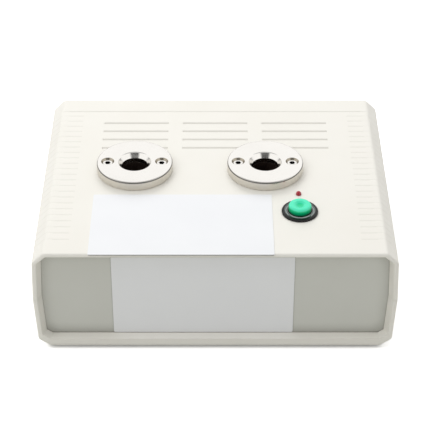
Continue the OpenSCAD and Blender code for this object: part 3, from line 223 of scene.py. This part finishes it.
def make_turned_lines():
    """Fine rings that a lathe leaves round an upright axis through the place's zero point."""
    tree, given, result = new_group(
        "turned_lines",
        {"Place": ("Vector", ORIGIN), "Pitch": ("Float", 6000.0)},
        {"Height": "Float"})
    radius = distance_from(tree, given["Place"], ORIGIN)
    height = along(tree, given["Place"], "Z")
    path = maths(tree, "MULTIPLY", maths(tree, "ADD", height, radius), given["Pitch"])
    rings = add(tree, "TexNoise", {"W": path, "Scale": 1.0, "Detail": 3.0}, noise_dimensions="1D")
    tree.links.new(rings.outputs["Fac"], result["Height"])
    return tree


def make_settled_dust():
    """Thin dust on what faces up, thicker in patches."""
    tree, given, result = new_group(
        "settled_dust",
        {"Place": ("Vector", ORIGIN), "Amount": ("Float", 0.1)},
        {"Mask": "Float"})
    upward = along(tree, add(tree, "NewGeometry").outputs["Normal"], "Z")
    lying = spread(tree, upward, 0.3, 0.95)
    patches = spread(tree, noise(tree, given["Place"], 900.0, 5.0, 0.7), 0.4, 0.75)
    tree.links.new(product(tree, lying, patches, given["Amount"]), result["Mask"])
    return tree


TONE_AND_GRAIN = make_tone_and_grain()
HANDLED_GLOSS = make_handled_gloss()
SOFT_EDGES = make_soft_edges()
TURNED_LINES = make_turned_lines()
SETTLED_DUST = make_settled_dust()


def effect(tree, group, **inputs):
    """Shared effect placed in a material. Underscores in input names stand for spaces."""
    node = tree.nodes.new("ShaderNodeGroup")
    node.node_tree = group
    for name, value in inputs.items():
        give(tree, node.inputs[name.replace("_", " ")], value)
    return node.outputs


def finish(name, tone, second, mottle=0.5, patches=40.0, grain=3000.0, depth=0.02, roughness=0.45,
           change=0.08, edge=0.3, rubbed=None, dust=0.0, turned=None, pitch=6000.0, metallic=0.0,
           specular=0.5, coat=0.0, recolour=None, plated=None, brushed=None):
    """Material with mottled tone, grain, handled gloss and soft edges. Depth and edge are in mm.
    rubbed is the colour of worn edges, turned the axis of lathe rings, and recolour a last step for the
    colour. plated gives the mask of a plated part, and brushed that of a part with coarser lathe rings."""
    material = bpy.data.materials.new(name)
    material.use_nodes = True
    tree = material.node_tree
    shader = tree.nodes["Principled BSDF"]
    place = add(tree, "TexCoord").outputs["Object"]
    surface = effect(tree, TONE_AND_GRAIN, Place=place, Tone=tone, Second_Tone=second, Mottle=mottle,
                     Patches=patches, Grain=grain)
    edges = effect(tree, SOFT_EDGES, Place=place, Width=edge * MM)

    tint = surface["Color"]
    if recolour:
        tint = recolour(tree, place, tint)
    if rubbed:
        tint = blend(tree, edges["Rubbed"], tint, rubbed)
    if plated:
        mask = plated(tree, place)
        tint = blend(tree, mask, tint, PLATED)
        tree.links.new(mask, shader.inputs["Metallic"])
    if dust:
        settled = effect(tree, SETTLED_DUST, Place=place, Amount=dust)["Mask"]
        tint = blend(tree, settled, tint, DUST)
    tree.links.new(tint, shader.inputs["Base Color"])

    height = surface["Height"]
    if turned:
        to_axis = {"Vector": place, "Location": (-turned.x, -turned.y, 0.0)}
        centred = add(tree, "Mapping", to_axis).outputs[0]
        height = effect(tree, TURNED_LINES, Place=centred, Pitch=pitch)["Height"]
    bump = add(tree, "Bump", {"Strength": 1.0, "Distance": depth * MM, "Height": height,
                              "Normal": edges["Normal"]})
    tree.links.new(bump.outputs[0], shader.inputs["Normal"])

    rough = effect(tree, HANDLED_GLOSS, Place=place, Roughness=roughness, Change=change)["Roughness"]
    if brushed:
        rough = maths(tree, "MULTIPLY_ADD", brushed(tree, place), 0.2, rough)
        around = add(tree, "Tangent", direction_type="RADIAL", axis="Z").outputs[0]
        tree.links.new(around, shader.inputs["Tangent"])
        shader.inputs["Anisotropic"].default_value = 0.85
        shader.inputs["Anisotropic Rotation"].default_value = 0.25
    tree.links.new(rough, shader.inputs["Roughness"])

    shader.inputs["Metallic"].default_value = metallic
    shader.inputs["Specular IOR Level"].default_value = specular
    shader.inputs["Coat Weight"].default_value = coat
    shader.inputs["Coat Roughness"].default_value = 0.05
    return material


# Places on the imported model
def middle(node):
    """Middle of a node's box."""
    low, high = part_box(node)
    return (low + high) / 2


RING_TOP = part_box("left_socket_ring")[1].z
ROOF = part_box("left_socket_ring")[0].z
LEFT_AXIS = middle("left_socket_ring")
RIGHT_AXIS = middle("right_socket_ring")
BUTTON_AXIS = middle("button_body")
PANEL_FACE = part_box("front_panel")[0].y

# Half sizes of the roof's flat part
FLAT_ROOF_X = 88 * MM
FLAT_ROOF_Y = 75 * MM

# Sizes of the labels, screw seats, tape and iron sheets
LABEL_T = 0.35 * MM
LABEL_CORNER = 0.8 * MM
ROOF_LABEL_X = (-68.4 * MM, 31.8 * MM)
ROOF_LABEL_Y = (-79.1 * MM, -23.2 * MM)
FRONT_LABEL_X = (-56.6 * MM, 43.3 * MM)
FRONT_LABEL_Z = (7.6 * MM, 60.0 * MM)
SCREW_REACH = 15.5 * MM
TAPE_W = 7 * MM
SHEET_T = 0.7 * MM


# Colour steps of single finishes
def shade_in_sockets(tree, place, tint):
    """Painted shade: near black deep in the keyed sockets of the ring screws."""
    deep = below(tree, place, RING_TOP - 1.2 * MM, 0.6 * MM)
    # Painted shade at the bottom of each socket
    return blend(tree, deep, tint, colour(0.012, 0.009, 0.007))


def on_rim(tree, place, axis):
    """Mask of a socket ring's edge and side, outside its flat top."""
    return spread(tree, distance_from(tree, place, axis), 20 * MM, 20.5 * MM)


def ring_side(axis):
    """Mask of a socket ring's upright side."""
    def side(tree, place):
        under_edge = below(tree, place, RING_TOP - 0.8 * MM, 0.3 * MM)
        return product(tree, under_edge, on_rim(tree, place, axis))
    return side


def ring_oxide_and_reflections(axis):
    """Warm, darker side of a ring, partly oxide and partly a painted reflection of the roof in shade, and a
    dark line round its edge, which is a painted reflection.
    """
    def oxide_and_reflections(tree, place, tint):
        under_top = below(tree, place, RING_TOP - 0.15 * MM, 0.2 * MM)
        over_side = above(tree, place, RING_TOP - 1.1 * MM, 0.3 * MM)
        line = product(tree, under_top, over_side, on_rim(tree, place, axis))
        warm = blend(tree, ring_side(axis)(tree, place), tint, colour(0.73, 0.695, 0.63))
        # Painted reflection: the dark line round the ring's edge
        return blend(tree, line, warm, colour(0.17, 0.16, 0.145))
    return oxide_and_reflections


def plated_dish(tree, place):
    """Mask of the plated dish between the bezel's black rim and collar."""
    radius = distance_from(tree, place, BUTTON_AXIS)
    in_rim = spread(tree, radius, 8.6 * MM, 8.5 * MM)
    round_collar = spread(tree, radius, 6.9 * MM, 7.0 * MM)
    return product(tree, in_rim, round_collar, above(tree, place, ROOF, 0.1 * MM))


def shade_in_grooves(tree, place, tint):
    """Painted shade in the blind grooves of the roof, which ends short of the roof's rounded edges."""
    deep = below(tree, place, ROOF - 0.03 * MM, 0.11 * MM)
    outside = above(tree, place, ROOF - 0.8 * MM, 0.1 * MM)
    across = maths(tree, "ABSOLUTE", along(tree, place, "X"))
    lengthwise = maths(tree, "ABSOLUTE", along(tree, place, "Y"))
    sides = spread(tree, across, FLAT_ROOF_X + 1 * MM, FLAT_ROOF_X)
    ends = spread(tree, lengthwise, FLAT_ROOF_Y + 1 * MM, FLAT_ROOF_Y)
    # Painted shade in the grooves
    return blend(tree, product(tree, deep, outside, sides, ends), tint, colour(0.79, 0.77, 0.71))


def shaded_label_edge(tree, place, tint):
    """Painted shade on the cut edge of the roof label, which stands out over the front lip."""
    front = ROOF_LABEL_Y[0]
    edge = spread(tree, along(tree, place, "Y"), front + 0.2 * MM, front + 0.1 * MM)
    # Painted shade along the label's front edge
    return blend(tree, edge, tint, colour(0.20, 0.20, 0.20))


def shade_in_corners(tree, place, tint):
    """Painted shade in the panel's corners, and a painted shadow line where its edges go into the slots of
    the case.
    """
    # Painted shade where the case's lips close over the panel
    corners = spread(tree, openness(tree, 8 * MM, 12), 0.95, 0.55)
    shaded = blend(tree, corners, tint, colour(0.47, 0.47, 0.43))
    # Painted shadow line at the slots
    slots = spread(tree, openness(tree, 1.2 * MM, 12), 0.85, 0.45)
    return blend(tree, slots, shaded, colour(0.26, 0.24, 0.20))


def cap_painted_shade(tree, place, tint):
    """Green of the translucent cap with painted shade: darker in its dish and on its side than on its top,
    and near black down the side to the foot.
    """
    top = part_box("button_cap")[1].z
    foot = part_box("button_body")[1].z
    waist = top - 1.6 * MM
    dish = spread(tree, distance_from(tree, place, BUTTON_AXIS), 2.8 * MM, 1.6 * MM)
    dished = blend(tree, dish, tint, colour(0.025, 0.67, 0.39))
    side = blend(tree, below(tree, place, top - 0.5 * MM, 0.7 * MM), dished, colour(0.0, 0.62, 0.24))
    # Painted shade down the cap's side to its foot
    return blend(tree, below(tree, place, waist, waist - foot), side, colour(0.0, 0.11, 0.05))


def bare_can_top(tree, place, tint):
    """Bare aluminium on top of the capacitors, above their sleeves."""
    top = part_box("electrolytic_capacitors")[1].z
    return blend(tree, above(tree, place, top - 0.7 * MM, 0.2 * MM), tint, colour(0.62, 0.62, 0.62))


def sheet_lines(axis):
    """Lines between the stacked iron sheets, along one axis."""
    def lines(tree, place, tint):
        phase = maths(tree, "MULTIPLY", along(tree, place, axis), 2 * math.pi / SHEET_T)
        wave = maths(tree, "SINE", phase)
        return blend(tree, spread(tree, wave, 0.2, 0.9), tint, colour(0.02, 0.02, 0.022))
    return lines


def tape_turns(tree, place, tint):
    """Overlapping turns of winding tape."""
    turn = maths(tree, "FRACT", maths(tree, "DIVIDE", along(tree, place, "Z"), TAPE_W))
    return blend(tree, spread(tree, turn, 0.9, 1.0), tint, colour(0.30, 0.22, 0.04))


# Finishes of the outside
case_plastic = finish("case_plastic", colour(0.885, 0.865, 0.805), colour(0.855, 0.83, 0.76), mottle=0.4,
                      patches=22, grain=3600, depth=0.018, roughness=0.5, change=0.06, edge=0.4,
                      recolour=shade_in_grooves)
panel_plastic = finish("panel_plastic", colour(0.66, 0.665, 0.617), colour(0.63, 0.63, 0.578), mottle=0.45,
                       patches=26, grain=3200, roughness=0.48, change=0.07, recolour=shade_in_corners)
label_paper = finish("label_paper", colour(0.88, 0.89, 0.905), colour(0.85, 0.86, 0.88), mottle=0.35,
                     patches=30, grain=1700, depth=0.004, roughness=0.42, change=0.05, edge=0.05,
                     recolour=shaded_label_edge)
foot_rubber = finish("foot_rubber", colour(0.020, 0.020, 0.021), colour(0.032, 0.031, 0.030), mottle=0.7,
                     patches=160, grain=2600, depth=0.03, roughness=0.78, edge=0.4, dust=0.25)
bezel_black = finish("bezel_black", colour(0.010, 0.010, 0.011), colour(0.016, 0.016, 0.016), patches=120,
                     grain=2400, depth=0.003, roughness=0.16, change=0.05, edge=0.25,
                     rubbed=colour(0.03, 0.03, 0.03), specular=0.25, plated=plated_dish)
inlet_black = finish("inlet_black", colour(0.016, 0.016, 0.017), colour(0.026, 0.026, 0.026), mottle=0.6,
                     patches=110, roughness=0.42, rubbed=colour(0.06, 0.06, 0.06), dust=0.1)
cap_green = finish("cap_green", colour(0.085, 0.87, 0.54), colour(0.070, 0.80, 0.485), patches=90,
                   grain=2600, depth=0.002, roughness=0.14, change=0.04, edge=0.2, specular=0.35,
                   recolour=cap_painted_shade)
lens_red = finish("lens_red", colour(0.42, 0.012, 0.030), colour(0.33, 0.008, 0.020), mottle=0.6,
                  patches=500, grain=4000, depth=0.001, roughness=0.12, change=0.04, edge=0.05, coat=0.4)

# Finishes of the metal pieces
PLATE = (colour(0.81, 0.79, 0.755), colour(0.76, 0.74, 0.70))


def ring_plate(name, axis):
    """Bright plating of a socket ring, turned on top and duller down its side."""
    return finish(name, *PLATE, mottle=0.35, patches=90, depth=0.0006, roughness=0.12, change=0.03,
                  edge=0.15, turned=axis, pitch=9000, metallic=1.0, recolour=ring_oxide_and_reflections(axis),
                  brushed=ring_side(axis))


def turned_brass(name, axis):
    """Brass of the contacts and end plugs, turned round a socket's axis."""
    return finish(name, colour(0.72, 0.50, 0.19), colour(0.58, 0.38, 0.13), mottle=0.6, patches=220,
                  depth=0.003, roughness=0.27, change=0.09, edge=0.15, turned=axis, pitch=7000,
                  metallic=1.0)


def stacked_iron(name, axis):
    """Iron sheets stacked along one axis."""
    return finish(name, colour(0.16, 0.165, 0.18), colour(0.10, 0.10, 0.11), mottle=0.7, patches=130,
                  grain=2600, roughness=0.5, change=0.1, edge=0.2, metallic=0.7,
                  recolour=sheet_lines(axis))


left_ring_plate = ring_plate("left_ring_plate", LEFT_AXIS)
right_ring_plate = ring_plate("right_ring_plate", RIGHT_AXIS)
ring_screw_steel = finish("ring_screw_steel", *PLATE, mottle=0.6, patches=400, grain=5000, depth=0.002,
                          roughness=0.2, change=0.06, edge=0.12, metallic=1.0, recolour=shade_in_sockets)
# Darker, browner steel for the cups: painted shade on their walls round the screw heads
shaded_cup_steel = finish("shaded_cup_steel", colour(0.42, 0.38, 0.31), colour(0.28, 0.24, 0.18), mottle=0.7, patches=500,
                   grain=5000, depth=0.002, roughness=0.24, edge=0.05, metallic=1.0)
zinc_steel = finish("zinc_steel", colour(0.44, 0.44, 0.43), colour(0.34, 0.34, 0.325), mottle=0.7,
                    patches=260, grain=4200, depth=0.004, roughness=0.34, change=0.1, edge=0.15,
                    rubbed=colour(0.58, 0.58, 0.58), metallic=1.0)
tinned_metal = finish("tinned_metal", colour(0.52, 0.51, 0.49), colour(0.42, 0.41, 0.39), mottle=0.6,
                      patches=300, grain=4200, depth=0.003, roughness=0.26, edge=0.12, metallic=1.0)
left_brass = turned_brass("left_brass", LEFT_AXIS)
right_brass = turned_brass("right_brass", RIGHT_AXIS)
sheet_brass = finish("sheet_brass", colour(0.70, 0.49, 0.19), colour(0.56, 0.37, 0.13), mottle=0.6,
                     patches=260, grain=4200, depth=0.003, roughness=0.3, change=0.09, edge=0.12,
                     metallic=1.0)
spring_steel = finish("spring_steel", colour(0.50, 0.50, 0.49), colour(0.38, 0.38, 0.37), mottle=0.6,
                      patches=400, grain=4500, depth=0.003, roughness=0.3, edge=0.08, metallic=1.0)
coil_iron = stacked_iron("coil_iron", "Y")
transformer_iron = stacked_iron("transformer_iron", "X")
sink_anodised = finish("sink_anodised", colour(0.030, 0.030, 0.033), colour(0.045, 0.045, 0.048),
                       mottle=0.6, patches=180, grain=3600, depth=0.01, roughness=0.4, edge=0.15,
                       rubbed=colour(0.30, 0.30, 0.31), metallic=0.6)

# Finishes of the electrical pieces inside
sleeve_brown = finish("sleeve_brown", colour(0.017, 0.011, 0.009), colour(0.028, 0.018, 0.013), mottle=0.7,
                      patches=140, grain=2600, depth=0.01, roughness=0.36)
switch_board = finish("switch_board", colour(0.16, 0.075, 0.035), colour(0.11, 0.05, 0.024), mottle=0.7,
                      patches=240, depth=0.01, roughness=0.5, edge=0.15)
board_laminate = finish("board_laminate", colour(0.020, 0.13, 0.045), colour(0.030, 0.17, 0.06), mottle=0.6,
                        patches=150, grain=1500, depth=0.01, roughness=0.35, edge=0.1)
capacitor_sleeve = finish("capacitor_sleeve", colour(0.015, 0.020, 0.075), colour(0.022, 0.028, 0.095),
                          patches=140, grain=2600, depth=0.004, roughness=0.26, change=0.06, edge=0.2,
                          recolour=bare_can_top)
film_red = finish("film_red", colour(0.40, 0.035, 0.020), colour(0.33, 0.027, 0.016), mottle=0.6,
                  patches=160, grain=2600, depth=0.008, roughness=0.3, change=0.07, edge=0.5)
chip_black = finish("chip_black", colour(0.016, 0.016, 0.017), colour(0.028, 0.028, 0.028), mottle=0.6,
                    patches=260, grain=4200, depth=0.012, roughness=0.55, edge=0.12)
block_green = finish("block_green", colour(0.030, 0.19, 0.075), colour(0.022, 0.15, 0.058), patches=200,
                     depth=0.008, roughness=0.38, change=0.07, edge=0.2)
potting_black = finish("potting_black", colour(0.018, 0.017, 0.018), colour(0.032, 0.030, 0.029),
                       mottle=0.7, patches=90, grain=1600, depth=0.03, roughness=0.32, change=0.1, edge=0.5)
winding_tape = finish("winding_tape", colour(0.62, 0.44, 0.07), colour(0.52, 0.36, 0.05), mottle=0.6,
                      patches=90, grain=1600, roughness=0.35, edge=0.5, recolour=tape_turns)
fuse_glass = finish("fuse_glass", colour(0.80, 0.88, 0.90), colour(0.76, 0.85, 0.87), mottle=0.4,
                    patches=220, depth=0.001, roughness=0.06, change=0.03, edge=0.1)
fuse_glass.node_tree.nodes["Principled BSDF"].inputs["Transmission Weight"].default_value = 0.85


def wire_cover(name, tone, second):
    """Soft cover of a wire, slightly uneven and dusty."""
    return finish(name, tone, second, mottle=0.6, patches=120, grain=2400, depth=0.012, roughness=0.42,
                  edge=0.2, dust=0.06)


lead_red = wire_cover("lead_red", colour(0.42, 0.022, 0.016), colour(0.34, 0.016, 0.012))
wire_black = wire_cover("wire_black", colour(0.018, 0.018, 0.018), colour(0.028, 0.028, 0.028))
wire_blue = wire_cover("wire_blue", colour(0.030, 0.075, 0.30), colour(0.022, 0.055, 0.24))
wire_yellow = wire_cover("wire_yellow", colour(0.55, 0.31, 0.03), colour(0.47, 0.26, 0.022))
wire_white = wire_cover("wire_white", colour(0.66, 0.63, 0.58), colour(0.58, 0.55, 0.50))
wire_red = wire_cover("wire_red", colour(0.38, 0.018, 0.018), colour(0.31, 0.013, 0.013))

FINISHES = {
    case_plastic: ["top_shell", "bottom_shell"],
    panel_plastic: ["front_panel", "rear_panel"],
    foot_rubber: ["rubber_feet"],
    left_ring_plate: ["left_socket_ring"],
    right_ring_plate: ["right_socket_ring"],
    ring_screw_steel: ["socket_screws"],
    zinc_steel: ["case_screws", "board_screws", "strap_screws", "socket_nuts", "socket_washers",
                 "coil_strap", "transformer_strap", "inlet_screws", "inlet_nuts"],
    tinned_metal: ["inlet_pins", "fuse_caps", "lamp_leads"],
    sleeve_brown: ["left_socket_sleeve", "right_socket_sleeve"],
    left_brass: ["left_contact_plunger", "left_end_plug"],
    right_brass: ["right_contact_plunger", "right_end_plug"],
    sheet_brass: ["button_bridge", "button_terminals"],
    spring_steel: ["left_contact_spring", "right_contact_spring", "button_spring"],
    bezel_black: ["button_body"],
    cap_green: ["button_cap"],
    switch_board: ["button_base"],
    lens_red: ["lamp_lens"],
    board_laminate: ["main_board"],
    capacitor_sleeve: ["electrolytic_capacitors"],
    film_red: ["film_capacitor"],
    sink_anodised: ["heat_sink"],
    chip_black: ["power_transistor", "control_chip"],
    block_green: ["terminal_blocks"],
    coil_iron: ["coil_core"],
    transformer_iron: ["transformer_core"],
    potting_black: ["coil_block"],
    winding_tape: ["transformer_winding"],
    inlet_black: ["inlet_body", "fuse_drawer", "button_nut"],
    fuse_glass: ["fuse_tube"],
    lead_red: ["hv_leads"],
    wire_black: ["ground_leads"],
    wire_blue: ["mains_wires", "button_wires"],
    wire_yellow: ["secondary_wires"],
    wire_white: ["coil_wires"],
    wire_red: ["lamp_wires"],
}
for material, names in FINISHES.items():
    for name in names:
        nodes[name].material_slots[0].material = material


# New pieces
def make_piece(name, mesh, material, body):
    """Object from a finished bmesh, with smooth faces and sharp corners kept."""
    bmesh.ops.remove_doubles(mesh, verts=mesh.verts, dist=0.001 * MM)
    bmesh.ops.recalc_face_normals(mesh, faces=mesh.faces)
    data = bpy.data.meshes.new(name)
    mesh.to_mesh(data)
    mesh.free()
    data.materials.append(material)
    data.shade_smooth()
    data.set_sharp_from_angle(angle=math.radians(35))
    piece = bpy.data.objects.new(name, data)
    bpy.context.scene.collection.objects.link(piece)
    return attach(piece, body)


def make_label(name, *reach):
    """Bare paper label with rounded corners. reach gives its lowest and highest X, Y and Z."""
    low, high = (Vector(corner) for corner in zip(*reach))
    size = high - low
    thin = min(range(3), key=lambda axis: size[axis])
    mesh = bmesh.new()
    bmesh.ops.create_cube(mesh, size=1)
    bmesh.ops.scale(mesh, vec=size, verts=mesh.verts)
    bmesh.ops.translate(mesh, vec=(low + high) / 2, verts=mesh.verts)
    short = [edge for edge in mesh.edges
             if abs((edge.verts[0].co - edge.verts[1].co)[thin]) > size[thin] / 2]
    bmesh.ops.bevel(mesh, geom=short, offset=LABEL_CORNER, offset_type="OFFSET", affect="EDGES",
                    segments=5, profile=0.5, material=-1, clamp_overlap=True)
    make_piece(name, mesh, label_paper, "case")


make_label("roof_label", ROOF_LABEL_X, ROOF_LABEL_Y, (ROOF, ROOF + LABEL_T))
make_label("front_label", FRONT_LABEL_X, (PANEL_FACE - LABEL_T, PANEL_FACE), FRONT_LABEL_Z)


def make_cup(mesh, axis):
    """Cup washer round a sunk screw head: a steep cone from the ring's top down to the head."""
    wide = axis.x + 3.72 * MM
    narrow = axis.x + 2.82 * MM
    rim = RING_TOP - 0.03 * MM
    throat = RING_TOP - 1.08 * MM
    foot = RING_TOP - 1.6 * MM
    profile = ((wide, rim), (narrow, throat), (narrow, foot), (wide, foot))
    loop = [mesh.verts.new((x, axis.y, z)) for x, z in profile]
    edges = [mesh.edges.new((loop[i - 1], loop[i])) for i in range(len(loop))]
    bmesh.ops.spin(mesh, geom=loop + edges, cent=(axis.x, axis.y, 0), axis=(0, 0, 1), angle=2 * math.pi,
                   steps=40, use_merge=True, use_duplicate=False)


cups = bmesh.new()
for ring in (LEFT_AXIS, RIGHT_AXIS):
    for reach in (-SCREW_REACH, SCREW_REACH):
        make_cup(cups, ring + Vector((reach, 0, 0)))
make_piece("ring_screw_cups", cups, shaded_cup_steel, "case")


def make_spring(name, node, axis, radius, wire, turns):
    """Coil of round wire with closed end turns in place of a packed spring."""
    low, high = (corner.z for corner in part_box(node))
    steps = 24
    sides = 10
    mesh = bmesh.new()
    bmesh.ops.create_circle(mesh, cap_ends=False, radius=wire / 2, segments=sides)
    bmesh.ops.rotate(mesh, matrix=Matrix.Rotation(math.radians(90), 3, "X"), verts=mesh.verts)
    bmesh.ops.translate(mesh, vec=(axis.x + radius, axis.y, low + wire / 2), verts=mesh.verts)
    # Each end turn rises by just over one wire
    closed = wire * 1.04
    open_rise = (high - low - wire - 2 * closed) / (turns - 2)
    last = mesh.verts[:] + mesh.edges[:]
    for rise, count in ((closed, 1), (open_rise, turns - 2), (closed, 1)):
        last = bmesh.ops.spin(mesh, geom=last, cent=(axis.x, axis.y, 0), axis=(0, 0, 1),
                              dvec=(0, 0, rise / steps), angle=2 * math.pi * count, steps=steps * count,
                              use_merge=False, use_duplicate=False)["geom_last"]
    bmesh.ops.holes_fill(mesh, edges=mesh.edges[:], sides=sides)
    spring = make_piece(name, mesh, spring_steel, "case")
    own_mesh(spring)
    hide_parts(node)


for side, axis in (("left", LEFT_AXIS), ("right", RIGHT_AXIS)):
    make_spring(side + "_coil_spring", side + "_contact_spring", axis, radius=4.55 * MM, wire=0.9 * MM,
                turns=7)
make_spring("button_coil_spring", "button_spring", BUTTON_AXIS, radius=3.9 * MM, wire=0.6 * MM,
            turns=5)


# Stage and light
def make_table_white():
    """White that throws a little less light up than it shows, with a faint shadow at the feet."""
    material = bpy.data.materials.new("white_table")
    material.use_nodes = True
    tree = material.node_tree
    shader = tree.nodes["Principled BSDF"]
    speck = noise(tree, add(tree, "TexCoord").outputs["Object"], 900.0, 2.0)
    tree.links.new(spread(tree, speck, 0.3, 0.7, 0.7, 0.8), shader.inputs["Roughness"])
    shader.inputs["Specular IOR Level"].default_value = 0.2
    path = add(tree, "LightPath").outputs
    mirrored = maths(tree, "ADD", path["Is Glossy Ray"], path["Is Transmission Ray"])
    seen = maths(tree, "ADD", path["Is Camera Ray"], mirrored, clamp=True)
    tree.links.new(blend(tree, seen, colour(0.76, 0.76, 0.71), WHITE), shader.inputs["Base Color"])
    glow = spread(tree, openness(tree, 3 * MM, 16), 0.45, 0.8, 0.1, 0.45)
    tree.links.new(maths(tree, "MULTIPLY", seen, glow), shader.inputs["Emission Strength"])
    shader.inputs["Emission Color"].default_value = WHITE
    return material


def make_floor():
    """Table under the object."""
    mesh = bmesh.new()
    bmesh.ops.create_grid(mesh, x_segments=1, y_segments=1, size=6)
    data = bpy.data.meshes.new("floor")
    mesh.to_mesh(data)
    mesh.free()
    data.materials.append(make_table_white())
    floor = bpy.data.objects.new("floor", data)
    bpy.context.scene.collection.objects.link(floor)


def make_world():
    """Soft light from a dome that is brightest overhead. Metal mirrors a white band between a dim horizon
    and a dim ceiling, with a dark patch in it where the viewer stands in front."""
    world = bpy.data.worlds.new("studio")
    world.use_nodes = True
    tree = world.node_tree
    background = tree.nodes["Background"]
    # A direction has length 1, so a height of 1 is straight up
    direction = add(tree, "TexCoord").outputs["Generated"]
    height = along(tree, direction, "Z")
    ceiling = spread(tree, height, 0.76, 0.88, 1.0, 0.5)
    sky = product(tree, spread(tree, height, 0.13, 0.22, 0.25, 1.18), ceiling)
    beside = spread(tree, maths(tree, "ABSOLUTE", along(tree, direction, "X")), 0.34, 0.54)
    behind = spread(tree, along(tree, direction, "Y"), -0.2, -0.1)
    apart = spread(tree, maths(tree, "ABSOLUTE", maths(tree, "SUBTRACT", height, 0.63)), 0.10, 0.16)
    clear = maths(tree, "MAXIMUM", maths(tree, "MAXIMUM", beside, behind), apart)
    mirrored = product(tree, sky, spread(tree, clear, 0, 1, 0.08, 1.0))
    dome = maths(tree, "MULTIPLY_ADD", maths(tree, "MAXIMUM", height, 0.0), 0.62, 0.27)
    path = add(tree, "LightPath").outputs
    seen = maths(tree, "ADD", path["Is Camera Ray"], path["Is Transmission Ray"], clamp=True)
    plain = maths(tree, "MAXIMUM", seen, dome)
    glossy = path["Is Glossy Ray"]
    strength = maths(tree, "ADD", maths(tree, "MULTIPLY", mirrored, glossy),
                     maths(tree, "MULTIPLY", plain, maths(tree, "SUBTRACT", 1.0, glossy)))
    tree.links.new(strength, background.inputs["Strength"])
    background.inputs["Color"].default_value = WHITE
    bpy.context.scene.world = world


def make_lamp(name, place, size, power):
    """Square soft lamp that points at the object. Neither the camera nor metal sees it."""
    target = Vector((0, 0, 0.04))
    lamp = bpy.data.lights.new(name, "AREA")
    lamp.size = size
    lamp.energy = power
    holder = bpy.data.objects.new(name, lamp)
    bpy.context.scene.collection.objects.link(holder)
    holder.location = place
    holder.rotation_euler = (target - Vector(place)).to_track_quat("-Z", "Y").to_euler()
    holder.visible_glossy = False
    holder.visible_camera = False


make_floor()
make_world()
make_lamp("left_softbox", (-0.75, -0.20, 1.05), size=0.7, power=3.0)
make_lamp("rear_softbox", (-0.15, 1.15, 0.95), size=0.9, power=9.0)
